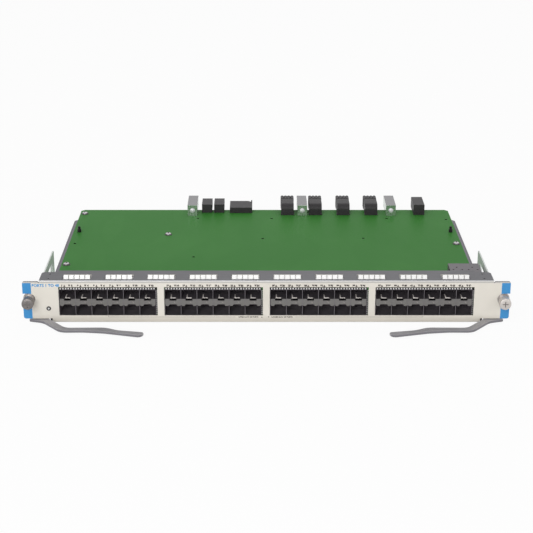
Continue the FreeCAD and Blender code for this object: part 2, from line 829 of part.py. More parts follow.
def make_screw_spring(x):
    """Coil spring between the knob's pocket and the sleeve, of square wire."""
    start, end = knob_floor + spring_gap, -sleeve_nose_length - spring_gap
    steps = round(spring_turns * spring_steps)
    rise = (end - start - spring_wire) / steps
    frames = []
    for i in range(steps + 1):
        angle = 2 * math.pi * i / spring_steps
        y = start + i * rise
        frames.append([V(x + r * math.cos(angle), v, screw_height + r * math.sin(angle))
                       for r, v in ((spring_radius, y), (spring_radius + spring_wire, y),
                                    (spring_radius + spring_wire, y + spring_wire),
                                    (spring_radius, y + spring_wire))])
    return Part.makeLoft([Part.makePolygon(f + f[:1]) for f in frames], True, True)


# ---------------------------------------------------------------- rear connectors
def make_guide_block(x):
    """Guide block with a bore in its rear face for the frame's guide pin."""
    z = board_top + guide_height / 2
    block = box(around(x, guide_width), (guide_front, guide_back), (board_top, board_top + guide_height))
    tools = [rod_y(guide_bore_radius, x, (guide_back - guide_bore_depth, guide_back + 1), z),
             rod_y(guide_screw_radius + guide_screw_gap, x,
                   (guide_front - 1, guide_front + guide_screw_length + guide_screw_gap), z, small_sides)]
    return cut(block, tools)


def make_guide_screw(x):
    """Domed screw in the front face of a guide block."""
    r, h = guide_screw_head_radius, guide_screw_head_height
    profile = [(r * share, -h * rise) for share, rise in guide_screw_dome]
    profile += [(guide_screw_radius, 0.0), (guide_screw_radius, guide_screw_length)]
    place = V(x, guide_front, board_top + guide_height / 2)
    return turned(profile, small_sides, place, V(0, 1, 0))


def make_guide_screws():
    return group([make_guide_screw(x) for x in guide_places])


def make_power_socket(x):
    """Small power socket with two blade slots in its rear face."""
    middle = board_top + socket_height / 2
    block = box(around(x, socket_width), (socket_front, socket_back),
                (board_top, board_top + socket_height))
    slots = [box(around(x + s * socket_blade_spacing / 2, socket_blade_width),
                 (socket_back - socket_blade_depth, socket_back + 1), around(middle, socket_blade_height))
             for s in (-1, 1)]
    return cut(block, slots)


def make_supply_connector():
    """Low wide connector with a notched rear corner, a key tab and a row of contacts."""
    x, back, n = supply_place, supply_back, supply_notch
    left, right = around(x, supply_width)
    tab = right - supply_tab_width
    block = plate([(left, supply_front), (right, supply_front), (right, back), (tab, back),
                   (tab, back - n), (tab - n, back), (left, back)],
                  plan, board_top, board_top + supply_height)
    key = box((tab, right), (back - n, back), (board_top, board_top + supply_height + supply_tab_rise))
    z = around(board_top + supply_height / 2, supply_contact_size)
    first = x - supply_tab_width - (supply_contacts - 1) / 2 * supply_contact_pitch
    slots = [box(around(first + i * supply_contact_pitch, supply_contact_size),
                 (back - supply_contact_depth, back + 1), z) for i in range(supply_contacts)]
    return cut(joined([block, key]), slots)


def make_backplane_plug(x):
    """High-density connector: crowned body, groove, and a ribbed mating end with slots."""
    low, high = board_top, board_top + plug_height
    body = plate([(plug_front, low), (plug_front, high, plug_crown_radius), (plug_step, high),
                  (plug_step, high - plug_groove_depth),
                  (plug_step + plug_groove, high - plug_groove_depth),
                  (plug_step + plug_groove, low)], side, *around(x, plug_width))
    foot = box(around(x, plug_width + 2 * plug_foot), (plug_front, plug_front + plug_foot_length),
               (low, low + plug_foot_height))
    end_width = plug_width + 2 * plug_collar
    rib = end_width / plug_ribs
    valley = high - rib / 4
    crest = []
    for i in range(plug_ribs):
        right = x + end_width / 2 - i * rib
        crest += [(right, valley), (right - rib / 4, high), (right - 3 * rib / 4, high)]
    section = [(x - end_width / 2, low), (x + end_width / 2, low)] + crest + [(x - end_width / 2, valley)]
    end = plate(section, front, plug_step + plug_groove, plug_back)
    middle = (low + valley) / 2
    slots = [box(around(x + (i - (plug_ribs - 1) / 2) * rib, plug_slot_width),
                 (plug_back - plug_slot_depth, plug_back + 1), around(middle, plug_slot_height))
             for i in range(plug_ribs)]
    return cut(joined([body, foot, end]), slots)


def make_end_connector():
    """Tall narrow connector near the right end of the rear edge."""
    x, middle = end_place, board_top + end_height / 2
    block = box(around(x, end_width), (end_front, end_back), (board_top, board_top + end_height))
    slots = [box(around(x + s * end_slot_spacing / 2, end_slot_width),
                 (end_back - end_slot_depth, end_back + 1), around(middle, end_slot_height))
             for s in (-1, 1)]
    return cut(block, slots)


# ---------------------------------------------------------------- the card
def make_card():
    """Every node of the card, by name, in the working frame."""
    lever = make_lever()
    bracket = make_side_bracket()
    card = {
        "faceplate": make_faceplate(), "flange_gaskets": make_gaskets(),
        "status_lens": make_status_lens(), "tray": make_tray(), "circuit_board": make_board(),
        "board_screws": make_board_screws(), "board_standoffs": make_standoffs(),
        "locating_posts": make_posts(), "switch_chip": make_switch_chip(), "port_chips": make_chips(),
        "right_side_bracket": bracket, "left_side_bracket": mirrored(bracket),
        "corner_bracket": make_corner_bracket(),
        "left_lever": lever, "right_lever": mirrored(lever), "lever_pins": make_lever_pins(),
        "screw_sleeves": make_sleeves(), "guide_screws": make_guide_screws(),
        "supply_connector": make_supply_connector(), "end_connector": make_end_connector(),
    }
    for name, x in (("left", -screw_x), ("right", screw_x)):
        card[f"{name}_thumb_screw"] = make_thumb_screw(x)
        card[f"{name}_screw_ring"] = make_screw_ring(x)
        card[f"{name}_screw_spring"] = make_screw_spring(x)
    for i, x in enumerate(block_places, 1):
        card[f"cage_shell_{i}"] = make_cage_shell(x)
        card[f"cage_floor_{i}"] = make_cage_floor(x)
        card[f"cage_dividers_{i}"] = make_dividers(x)
        card[f"port_separators_{i}"] = make_separators(x)
        card[f"port_receptacles_{i}"] = make_receptacles(x)
        card[f"cage_springs_{i}"] = make_cage_springs(x)
    for i, x in enumerate(guide_places, 1):
        card[f"guide_block_{i}"] = make_guide_block(x)
    for i, x in enumerate(socket_places, 1):
        card[f"power_socket_{i}"] = make_power_socket(x)
    for i, x in enumerate(plug_places, 1):
        card[f"backplane_plug_{i}"] = make_backplane_plug(x)
    return card


def main():
    card = make_card()
    whole = group(list(card.values())).optimalBoundingBox(False, False)
    shift = V(-(whole.XMin + whole.XMax) / 2, -(whole.YMin + whole.YMax) / 2, -whole.ZMin)
    os.makedirs("parts", exist_ok=True)
    for name, shape in card.items():
        shape.translate(shift)
        shape.exportStep(f"parts/{name}.step")
    print(f"{len(card)} nodes, moved by {shift.x:.4f}, {shift.y:.4f}, {shift.z:.4f}")


main()
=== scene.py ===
"""Dresses the switch line card: finishes for its CAD nodes, and the finer pieces that ride on them."""
import logging
import math
from dataclasses import dataclass
from enum import Enum
from typing import Any, Callable, Iterable, Sequence

import bmesh
import bpy
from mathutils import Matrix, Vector


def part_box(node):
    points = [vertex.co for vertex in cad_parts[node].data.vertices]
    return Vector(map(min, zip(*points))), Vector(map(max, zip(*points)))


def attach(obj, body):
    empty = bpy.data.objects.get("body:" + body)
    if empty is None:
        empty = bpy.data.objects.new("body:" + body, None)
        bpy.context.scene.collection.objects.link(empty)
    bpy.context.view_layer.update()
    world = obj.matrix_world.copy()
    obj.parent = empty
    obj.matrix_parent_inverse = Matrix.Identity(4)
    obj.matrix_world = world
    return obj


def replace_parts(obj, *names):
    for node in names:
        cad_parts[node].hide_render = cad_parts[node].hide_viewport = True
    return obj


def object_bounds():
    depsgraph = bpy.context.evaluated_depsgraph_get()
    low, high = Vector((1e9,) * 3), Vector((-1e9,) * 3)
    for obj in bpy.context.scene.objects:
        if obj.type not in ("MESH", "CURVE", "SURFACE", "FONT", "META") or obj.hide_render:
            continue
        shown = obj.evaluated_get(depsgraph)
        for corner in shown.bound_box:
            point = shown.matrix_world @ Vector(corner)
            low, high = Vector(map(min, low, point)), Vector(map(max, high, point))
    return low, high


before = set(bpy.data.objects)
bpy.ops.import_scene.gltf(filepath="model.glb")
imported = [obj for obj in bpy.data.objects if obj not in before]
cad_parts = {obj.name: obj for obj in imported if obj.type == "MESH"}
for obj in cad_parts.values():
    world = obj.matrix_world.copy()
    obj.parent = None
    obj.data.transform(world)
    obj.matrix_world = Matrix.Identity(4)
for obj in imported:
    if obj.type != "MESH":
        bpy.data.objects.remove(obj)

CAD_BOX = [list(corner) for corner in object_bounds()]    # taken before anything is added
LOG = logging.getLogger("line_card")
MM = 0.001
BLOCKS = (1, 2, 3, 4)        # blocks of cages, from the left
COLUMNS = 6                  # columns of ports in a block
PLUGS = (1, 2, 3, 4)         # backplane plugs, from the left
GUIDES = (1, 2, 3)           # guide blocks, from the left
SIDES = ("left", "right")
UP, INWARD, ORIGIN = Vector((0, 0, 1)), Vector((0, 1, 0)), Vector((0, 0, 0))
WELD = 2e-6                  # corners of a CAD mesh that are nearer than this are one
FLAT_ANGLE = 0.6             # degrees between faces that are merged into one
SHARP_ANGLE = 28.0           # degrees above which a carved edge stays sharp
ROLL_LINES = 900.0           # rolling lines in a metre of sheet
CAGE_REACH = 30.0 * MM       # how far in from the panel the cages' sheets are shaded
PANEL_LOW, PANEL_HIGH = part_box("faceplate")
FRONT = PANEL_LOW.y          # front face of the panel
BOARD_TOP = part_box("circuit_board")[1].z

Point = tuple[float, float, float]


def srgb(code: str) -> tuple[float, float, float, float]:
    """Turns six hexadecimal digits of a display colour into the linear one that a shader takes."""
    levels = [int(code[i:i + 2], 16) / 255 for i in (0, 2, 4)]
    linear = [v / 12.92 if v <= 0.04045 else ((v + 0.055) / 1.055) ** 2.4 for v in levels]
    return (linear[0], linear[1], linear[2], 1.0)


def add_node(tree: bpy.types.NodeTree, kind: str, settings: dict[str, Any] | None = None,
             inputs: dict[Any, Any] | None = None) -> bpy.types.Node:
    """Adds a node to a tree, with its settings first and then its sockets' values or links."""
    made = tree.nodes.new(kind)
    for key, value in (settings or {}).items():
        setattr(made, key, value)
    for key, value in (inputs or {}).items():
        if isinstance(value, bpy.types.NodeSocket):
            tree.links.new(value, made.inputs[key])
        else:
            made.inputs[key].default_value = value
    return made


# ------------------------------------------------------------------ shader tools
def _operation(name: str, swapped: bool = False) -> Callable[..., "Sock"]:
    """Makes a method that adds a Math node, with its two values swapped for the right-hand operators."""
    def method(self: "Sock", *others: Any) -> "Sock":
        """Adds the node and gives its result."""
        values = (*others, self) if swapped else (self, *others)
        return self.shader.node("ShaderNodeMath", {"operation": name}, dict(enumerate(values)))[0]
    return method


class Sock:
    """A number socket of a material, on which arithmetic adds Math nodes."""

    __add__, __sub__, __mul__, __truediv__ = map(_operation, ("ADD", "SUBTRACT", "MULTIPLY", "DIVIDE"))
    __rsub__ = _operation("SUBTRACT", swapped=True)
    __gt__, __lt__, __abs__ = map(_operation, ("GREATER_THAN", "LESS_THAN", "ABSOLUTE"))
    most, root, wave, fraction = map(_operation, ("MAXIMUM", "SQRT", "SINE", "FRACT"))

    def __init__(self, shader: "Shader", socket: Any) -> None:
        """Wraps one output socket of a shader."""
        self.shader, self.socket = shader, socket

    def cell(self, pitch: float) -> "Sock":
        """Distance from the middle of the cell of a regular row that this lies in."""
        return ((self / pitch).fraction() - 0.5) * pitch

    def ramp(self, low: float, high: float, start: float = 0.0, end: float = 1.0) -> "Sock":
        """Maps low..high smoothly on start..end, and keeps to those ends outside."""
        settings = {"interpolation_type": "SMOOTHSTEP", "clamp": True}
        return self.shader.node("ShaderNodeMapRange", settings, {
            "Value": self, "From Min": low, "From Max": high, "To Min": start, "To Max": end})[0]


class Shader:
    """Builds one procedural material on Object coordinates."""

    def __init__(self, name: str) -> None:
        """Starts an empty material."""
        self.material = bpy.data.materials.new(name)
        self.material.use_nodes = True
        self.tree = self.material.node_tree
        self.tree.nodes.clear()
        place = self.node("ShaderNodeTexCoord")
        self.coords = place["Object"]
        split = self.node("ShaderNodeSeparateXYZ", inputs={0: self.coords})
        self.x, self.y, self.z = split[0], split[1], split[2]

    def node(self, kind: str, settings: dict[str, Any] | None = None,
             inputs: dict[Any, Any] | None = None) -> "Outputs":
        """Adds a node, whose inputs are values or wrapped sockets by name or number."""
        plain = {key: getattr(value, "socket", value) for key, value in (inputs or {}).items()}
        return Outputs(self, add_node(self.tree, kind, settings, plain))

    def noise(self, scale: float, detail: float = 3.0, stretch: Point = (1.0, 1.0, 1.0)) -> Sock:
        """Adds noise about 0.5, by its features in a metre, its finer layers and a factor along each axis."""
        mapped = self.node("ShaderNodeMapping", inputs={"Vector": self.coords, "Scale": stretch})[0]
        return self.node("ShaderNodeTexNoise", inputs={
            "Vector": mapped, "Scale": scale, "Detail": detail})["Fac"]

    def specks(self, scale: float) -> Sock:
        """Adds cells, for grains and flakes, as the distance to the nearest centre."""
        mapped = self.node("ShaderNodeMapping", inputs={"Vector": self.coords, "Scale": (1.0, 1.0, 1.0)})[0]
        return self.node("ShaderNodeTexVoronoi", inputs={"Vector": mapped, "Scale": scale})["Distance"]

    def mix(self, share: Any, first: Any, second: Any) -> Sock:
        """Mixes two colours, by how much of the second shows."""
        return self.node("ShaderNodeMix", {"data_type": "RGBA"}, {0: share, 6: first, 7: second})[2]

    def facing(self) -> "Outputs":
        """Adds the way the surface faces, split into its three parts."""
        return self.node("ShaderNodeSeparateXYZ", inputs={0: self.node("ShaderNodeNewGeometry")["Normal"]})

    def bump(self, height: Sock, depth: float, strength: float = 1.0) -> Sock:
        """Turns a height into a normal, with its depth in metres."""
        return self.node("ShaderNodeBump", inputs={
            "Height": height, "Distance": depth, "Strength": strength})[0]

    def surface(self, **inputs: Any) -> bpy.types.Material:
        """Ends the material in one Principled surface, with underscores for spaces in its sockets' names."""
        named = {key.replace("_", " "): value for key, value in inputs.items()}
        shader = self.node("ShaderNodeBsdfPrincipled", inputs=named)[0]
        self.node("ShaderNodeOutputMaterial", inputs={"Surface": shader})
        return self.material


class Outputs:
    """The outputs of a node, by name or number."""

    def __init__(self, shader: Shader, made: bpy.types.Node) -> None:
        """Keeps the node and its shader."""
        self.shader, self.made = shader, made

    def __getitem__(self, key: Any) -> Sock:
        """One output, wrapped."""
        return Sock(self.shader, self.made.outputs[key])


# ------------------------------------------------------------------ finishes
@dataclass(frozen=True)
class SheetMetal:
    """Plated sheet: fine rolling lines, clouds of tone and small rubs."""

    name: str
    tone: str
    light: str
    roughness: float = 0.42
    metallic: float = 0.85
    grain: Point = (0.04, 1.0, 1.0)
    # painted light and shade: a tone for the up-facing faces, set by the way they face
    top: str = ""
    # painted shade: a darker tone for the outer band, standing in for the shading of a turned lip
    rim: str = ""
    rim_start: float = 0.0
    line_depth: float = 4e-6
    cloud_scale: float = 28.0
    fleck_scale: float = 700.0

    def make(self) -> bpy.types.Material:
        """Builds the material, with painted light and shade on the up-facing faces, in a tone of their own if
        one is named, and painted shade on an outer band if one is named.
        """
        s = Shader(self.name)
        lines = s.noise(ROLL_LINES, 2.0, self.grain)
        clouds = s.noise(self.cloud_scale, 3.0)
        flecks = s.specks(self.fleck_scale).ramp(0.0, 0.5)
        tone = (lines * 0.35 + clouds * 0.5 + flecks * 0.15).ramp(0.25, 0.75)
        rough = clouds * 0.12 + lines * 0.1 + (self.roughness - 0.11)
        colour = s.mix(tone, srgb(self.tone), srgb(self.light))
        metallic = self.metallic
        # painted shade on the outer band beyond this distance from the middle
        if self.rim:
            colour = s.mix(abs(s.x) > self.rim_start, colour, srgb(self.rim))
        # painted light and shade on the up-facing faces
        if self.top:
            above = s.facing()[2].ramp(0.5, 0.8)
            colour = s.mix(above, colour, srgb(self.top))
            metallic = (1.0 - above * 0.7) * self.metallic
        return s.surface(Base_Color=colour, Metallic=metallic, Roughness=rough,
                         Normal=s.bump(lines, self.line_depth, 0.6))


@dataclass(frozen=True)
class EdgedSheet:
    """Sheet with a painted highlight on its front-facing faces, painted shade on its faces near the panel, and
    painted light that makes them paler further in.
    """

    name: str
    edge: str
    # painted shade near the panel; painted light, a paler tone, further in
    near: str
    deep: str
    start: float = -1.0      # the front faces take the painted highlight from this height
    stop: float = 1.0        # up to this one
    metallic: float = 0.2
    line_depth: float = 4e-6

    def make(self) -> bpy.types.Material:
        """Builds the material."""
        s = Shader(self.name)
        lines = s.noise(ROLL_LINES, 2.0, (0.1, 1.0, 1.0))
        # painted highlight on the front-facing faces between the two heights
        front = (0.0 - s.facing()[1]).ramp(0.3, 0.7) * (s.z > self.start) * (s.z < self.stop)
        # painted shade near the panel, paling to painted light further in
        inside = s.mix((s.y - FRONT).ramp(0.0, CAGE_REACH), srgb(self.near), srgb(self.deep))
        return s.surface(Base_Color=s.mix(front, inside, srgb(self.edge)), Metallic=self.metallic,
                         Roughness=lines * 0.15 + 0.42, Specular_IOR_Level=0.25,
                         Normal=s.bump(lines, self.line_depth, 0.6))


@dataclass(frozen=True)
class PerforatedSheet:
    """Cage sheet, with painted shade on its inner faces near the panel that pales to painted light further in,
    and rows of small vent holes in its roof and rear wall, drawn as discs of painted shade.
    """

    name: str = "perforated_cage_sheet"
    tone: str = "6f6b70"
    light: str = "7f7b80"
    # painted shade near the panel; painted light, a paler tone, further in
    near: str = "686268"
    deep: str = "a8a2a8"
    # painted shade: the vent holes are dark discs for the shade seen through them
    hole: str = "121113"
    pitch: float = 2.375 * MM
    radius: float = 0.72 * MM
    margin: float = 12.0 * MM
    hole_depth: float = 6e-5

    def make(self) -> bpy.types.Material:
        """Builds the material."""
        s = Shader(self.name)
        normal = s.facing()
        roof, rear = normal[2] > 0.5, normal[1] > 0.5
        across, along, up = (axis.cell(self.pitch) for axis in (s.x, s.y, s.z))
        second = along * roof + up * rear
        outside = roof.most(rear)
        hole = ((across * across + second * second).root() < self.radius) * (s.y > FRONT + self.margin)
        lines = s.noise(ROLL_LINES, 2.0, (1.0, 0.08, 1.0))
        plate = s.mix(lines.ramp(0.35, 0.65), srgb(self.tone), srgb(self.light))
        # painted shade near the panel, paling to painted light further in
        inside = s.mix((s.y - FRONT).ramp(0.0, CAGE_REACH), srgb(self.near), srgb(self.deep))
        skin = s.mix(hole, plate, srgb(self.hole))
        return s.surface(Base_Color=s.mix(outside, inside, skin), Metallic=(1.0 - hole) * 0.4,
                         Roughness=lines * 0.12 + 0.38, Specular_IOR_Level=0.25,
                         Normal=s.bump((1.0 - hole) * outside, self.hole_depth, 0.8))


@dataclass(frozen=True)
class Moulded:
    """Moulded plastic with a fine spark-eroded texture."""

    name: str
    tone: str
    light: str
    roughness: float = 0.5
    specular: float = 0.25
    grain_scale: float = 2600.0
    grain_depth: float = 8e-6
    cloud_scale: float = 60.0

    def make(self) -> bpy.types.Material:
        """Builds the material."""
        s = Shader(self.name)
        grain = s.noise(self.grain_scale, 2.0)
        clouds = s.noise(self.cloud_scale, 2.0)
        tone = (grain * 0.5 + clouds * 0.5).ramp(0.3, 0.7)
        return s.surface(Base_Color=s.mix(tone, srgb(self.tone), srgb(self.light)),
                         Roughness=clouds * 0.15 + (self.roughness - 0.07), Specular_IOR_Level=self.specular,
                         Normal=s.bump(grain, self.grain_depth, 0.7))


@dataclass(frozen=True)
class Cast:
    """Cast and tumbled metal, painted satin, with soft pits."""

    name: str
    tone: str
    light: str
    # painted shade: a darker tone for the front-facing faces
    upright: str
    roughness: float = 0.48
    metallic: float = 0.35
    pit_scale: float = 1400.0
    pit_depth: float = 1.2e-5
    cloud_scale: float = 35.0

    def make(self) -> bpy.types.Material:
        """Builds the material, with painted shade that makes its upright front faces a little darker."""
        s = Shader(self.name)
        pits = s.noise(self.pit_scale, 4.0)
        clouds = s.noise(self.cloud_scale, 3.0)
        tone = (pits * 0.4 + clouds * 0.6).ramp(0.3, 0.7)
        flat = s.mix(tone, srgb(self.tone), srgb(self.light))
        return s.surface(Base_Color=s.mix((0.0 - s.facing()[1]).ramp(0.25, 0.8), flat, srgb(self.upright)),
                         Metallic=self.metallic, Roughness=pits * 0.16 + (self.roughness - 0.08),
                         Normal=s.bump(pits, self.pit_depth, 0.7))


@dataclass(frozen=True)
class PanelPaint:
    """Off-white powder coat on the panel's face, with blue ends and painted shade towards its bottom edge,
    over bare plated flanges whose bend and front strip take painted light and shade by the way they face.
    """

    name: str = "panel_powder_coat"
    cream: str = "e9e4da"
    shade: str = "e0dbd1"
    blue: str = "4493cf"
    bare: str = "57565a"
    bare_light: str = "636267"
    # painted highlight: bare faces turned between up and front, on the bend, take this light tone
    fold: str = "d2d2d4"
    # a real bare strip above the paint, in a front-facing tone of its own that paints the thin shadow line
    # along the paint's edge
    masked: str = "c3c0bb"
    # painted shade: the cream darkens to this tone towards the panel's bottom edge
    lower: str = "cfc9be"
    paint_height: float = 37.5 * MM
    band_start: float = 208.7 * MM
    shade_rise: tuple[float, float] = (1.0 * MM, 9.0 * MM)
    peel_scale: float = 1500.0
    peel_depth: float = 9e-6
    cloud_scale: float = 18.0

    def make(self) -> bpy.types.Material:
        """Builds the material."""
        s = Shader(self.name)
        facing = 0.0 - s.facing()[1]
        painted = (facing > 0.9) * (s.z < self.paint_height)
        band = abs(s.x) > self.band_start
        peel = s.noise(self.peel_scale, 2.0)
        clouds = s.noise(self.cloud_scale, 3.0)
        cream = s.mix(clouds.ramp(0.35, 0.65), srgb(self.cream), srgb(self.shade))
        # painted shade: cream mixed towards the darker tone near the bottom edge
        cream = s.mix(s.z.ramp(*self.shade_rise, 1.0, 0.0), cream, srgb(self.lower))
        paint = s.mix(band, cream, srgb(self.blue))
        lines = s.noise(ROLL_LINES, 2.0, (0.04, 1.0, 1.0))
        flat = s.mix((lines * 0.5 + clouds * 0.5).ramp(0.3, 0.7), srgb(self.bare), srgb(self.bare_light))
        # painted highlight on the bend, by the way its faces turn
        with_fold_highlight = s.mix(facing.ramp(0.15, 0.5), flat, srgb(self.fold))
        # painted shade: front-facing bare faces take the shadow-line tone
        bare = s.mix(facing.ramp(0.93, 0.99), with_fold_highlight, srgb(self.masked))
        height = peel * painted + lines * (1.0 - painted) * 0.4
        return s.surface(Base_Color=s.mix(painted, bare, paint), Metallic=(1.0 - painted) * 0.3,
                         Roughness=painted * 0.06 + 0.4, Specular_IOR_Level=0.3,
                         Normal=s.bump(height, self.peel_depth, 0.8))


@dataclass(frozen=True)
class SolderMask:
    """Green solder mask over copper, with faint conductors, and the laminate's edge."""

    name: str = "green_solder_mask"
    green: str = "408339"
    light: str = "498c41"
    edge: str = "6d8a4c"
    # painted shade: the walls of the board's holes are dark for the shade inside them
    hole: str = "20261d"
    run_scale: float = 2600.0
    zone_scale: float = 22.0
    weave_scale: float = 1100.0
    cloud_scale: float = 12.0
    trace_depth: float = 1.5e-5
    skin: float = 0.05 * MM
    rear_margin: float = 4.0 * MM
    edge_margin: float = 0.1 * MM

    def make(self) -> bpy.types.Material:
        """Builds the material."""
        s = Shader(self.name)
        low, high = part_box("circuit_board")
        runs = (s.y * self.run_scale + s.noise(9.0, 1.0) * 14.0).wave().ramp(0.55, 0.75)
        zones = s.noise(self.zone_scale, 1.0, (1.0, 0.35, 1.0)).ramp(0.5, 0.56)
        traces = runs * zones
        weave = s.noise(self.weave_scale, 2.0)
        clouds = s.noise(self.cloud_scale, 2.0)
        face = s.mix((clouds * 0.6 + traces * 0.25 + weave * 0.15).ramp(0.3, 0.8),
                     srgb(self.green), srgb(self.light))
        top = (s.z > high.z - self.skin).most(s.z < low.z + self.skin)
        ends = (s.y > high.y - self.rear_margin).most(s.y < low.y + self.edge_margin)
        outer = (abs(s.x) > high.x - self.edge_margin).most(ends)
        walls = s.mix(outer, srgb(self.hole), srgb(self.edge))
        return s.surface(Base_Color=s.mix(top, walls, face),
                         Roughness=weave * 0.1 + 0.38, Specular_IOR_Level=0.045,
                         Normal=s.bump(traces * 0.6 + weave * 0.2, self.trace_depth, 0.6))


@dataclass(frozen=True)
class StatusLamp:
    """A pale lens in a dark ring."""

    name: str = "status_lamp"
    ring: str = "3c3a3c"
    lens: str = "d5d8d6"
    lens_radius: float = 0.85 * MM
    frost_scale: float = 3000.0
    frost_depth: float = 6e-6

    def make(self) -> bpy.types.Material:
        """Builds the material."""
        s = Shader(self.name)
        low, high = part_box("status_lens")
        middle = (low + high) / 2
        across, up = s.x - middle.x, s.z - middle.z
        radius = (across * across + up * up).root()
        frost = s.noise(self.frost_scale, 2.0)
        lens = radius < self.lens_radius
        return s.surface(Base_Color=s.mix(lens, srgb(self.ring), srgb(self.lens)),
                         Roughness=frost * 0.2 + 0.2, Coat_Weight=lens * 0.6,
                         Normal=s.bump(frost, self.frost_depth, 0.5))


@dataclass(frozen=True)
class Ink:
    """Printed ink, a little uneven in its tone."""

    name: str
    tone: str
    light: str
    grain_scale: float = 5000.0

    def make(self) -> bpy.types.Material:
        """Builds the material."""
        s = Shader(self.name)
        grain = s.noise(self.grain_scale, 2.0)
        return s.surface(Base_Color=s.mix(grain.ramp(0.35, 0.65), srgb(self.tone), srgb(self.light)),
                         Roughness=grain * 0.1 + 0.5)


class Finish(Enum):
    """Every finish on the card."""

    PANEL = PanelPaint()
    # the tray's darker outer band is painted shade
    TRAY = SheetMetal("tray_sheet_metal", "69656c", "74707a", 0.5, 0.35, rim="5d5a61",
                      rim_start=203.0 * MM)
    COVER = SheetMetal("cover_sheet", "5f5b5f", "6b676b", 0.5, 0.35)
    BRIGHT = SheetMetal("bright_nickel", "b9b9bc", "d6d6d8", 0.22, 0.9, (1.0, 1.0, 0.05))
    GASKET = SheetMetal("gasket_alloy", "f0efed", "f8f7f6", 0.4, 0.1, (0.1, 1.0, 1.0))
    # painted light: a green tint for the board's light bounced onto the trusses
    BRACKET = SheetMetal("bracket_steel", "dbe1dc", "e8ece9", 0.5, 0.1, (1.0, 0.05, 1.0))
    CAGE = PerforatedSheet()
    # the cage sheets' front edges are painted highlights, and their dark and pale faces are painted shade and
    # light
    CAGE_FLOOR = EdgedSheet("cage_floor_sheet", "3a373a", "4a464a", "a8a2a8")
    DIVIDER = EdgedSheet("divider_sheet", "757175", "332f33", "a8a2a8")
    # the dark tone round the fingers' bright band is the painted shadow of the opening's edge
    FINGERS = EdgedSheet("finger_strip", "8b898b", "1f1e20", "1f1e20", 31.4 * MM, 32.5 * MM)
    # painted highlight on the fingers' front-facing slopes, painted shade on the rest
    SIDE_FINGERS = EdgedSheet("side_finger_sheet", "f0efed", "1b1a1b", "1b1a1b")
    SEPARATOR = EdgedSheet("separator_sheet", "747270", "4a464a", "8d878d")
    # painted highlight for the fingers' crests
    TIP = SheetMetal("finger_tip_highlight", "e4e2df", "f2f0ee", 0.4, 0.1)
    # painted highlight: the pale slanted mark on each separator
    WINDOW = Ink("separator_highlight", "918d88", "a09c97")
    LID = SheetMetal("chip_lid", "77757a", "88868b", 0.34, 0.7)
    LATCH = SheetMetal("latch_sheet", "dad4ce", "e8e2dc", 0.5, 0.1)
    # painted reflection: a green tint for the board mirrored in the blocks, with the tops in a grey tone of
    # their own by facing
    GUIDE = SheetMetal("guide_block_metal", "bcc6bd", "c6cfc7", 0.2, 0.85, (1.0, 0.05, 1.0),
                       top="7f7e81", line_depth=5e-7)
    KNOB = SheetMetal("knob_nickel", "b9b3ae", "cdc7c2", 0.3, 0.5, (1.0, 1.0, 0.1))
    # painted shade: a darker copy of the knobs' nickel, for the left knob's darker reflection
    KNOB_DULL = SheetMetal("knob_nickel_painted_dark", "6b6665", "827d7b", 0.34, 0.7, (1.0, 1.0, 0.1))
    SLEEVE = SheetMetal("sleeve_nickel", "a9a4a1", "bfbab7", 0.28, 0.75, (1.0, 1.0, 0.1))
    # painted shade for the knobs' cross recesses
    KNOB_RECESS = SheetMetal("knob_recess_shade", "6d6866", "7b7674", 0.5, 0.4)
    # a dark ring for the lamp's bezel, and painted shade for the screws' recesses and washers
    KNOB_DARK = SheetMetal("knob_recess", "2e2c2d", "3c3a3b", 0.5, 0.4)
    SCREW = SheetMetal("screw_nickel", "d2d0d5", "e6e4e9", 0.34, 0.35)
    # painted highlight on the heads' up-facing faces, over dark sides as painted shade
    PAN_SCREW = SheetMetal("pan_screw_nickel", "5d595c", "7a7679", 0.26, 0.85, top="d4d0d3")
    SPRING = SheetMetal("spring_steel", "a8a8ac", "bcbcc0", 0.3, 0.9, (1.0, 1.0, 1.0))
    LEVER = Cast("lever_casting", "a4a2a5", "b1afb2", "77757a", 0.46, 0.1)
    PLASTIC = Moulded("connector_moulding", "302e30", "3c393c", 0.44, 0.2)
    POST = Moulded("post_moulding", "151416", "232224", 0.4)
    # painted light: a pale tone that lifts the receptacles deep in the ports, where little light reaches
    RECEPTACLE = Moulded("receptacle_moulding", "a59fa5", "b0aab0", 0.55)
    CHIP = Moulded("chip_package", "1d1d1f", "2a2a2c", 0.6)
    CERAMIC = Moulded("ceramic_capacitor", "8b7350", "a0875f", 0.5)
    TINNED = SheetMetal("tinned_contact", "c0bfbb", "d8d7d3", 0.25, 0.85, (1.0, 1.0, 1.0))
    GOLD = SheetMetal("gold_contact", "b9924a", "d1ab60", 0.24, 0.9, (1.0, 1.0, 0.1))
    BOARD = SolderMask()
    LAMP = StatusLamp()
    PRINT = Ink("brown_grey_ink", "2f2623", "3d332f")
    RULE = Ink("grey_ink", "7d786f", "8b867d")
    BLUE_PRINT = Ink("blue_ink", "2f8ccb", "3c98d4")

    @property
    def material(self) -> bpy.types.Material:
        """The finish's material, built the first time it is asked for."""
        found = bpy.data.materials.get(self.value.name)
        return found or self.value.make()


def dress(piece: bpy.types.Object, finish: Finish) -> None:
    """Gives a piece one finish all over."""
    piece.data.materials.clear()
    piece.data.materials.append(finish.material)


def dress_node(name: str, finish: Finish) -> None:
    """Gives a CAD node one finish, and leaves its shape alone."""
    dress(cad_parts[name], finish)


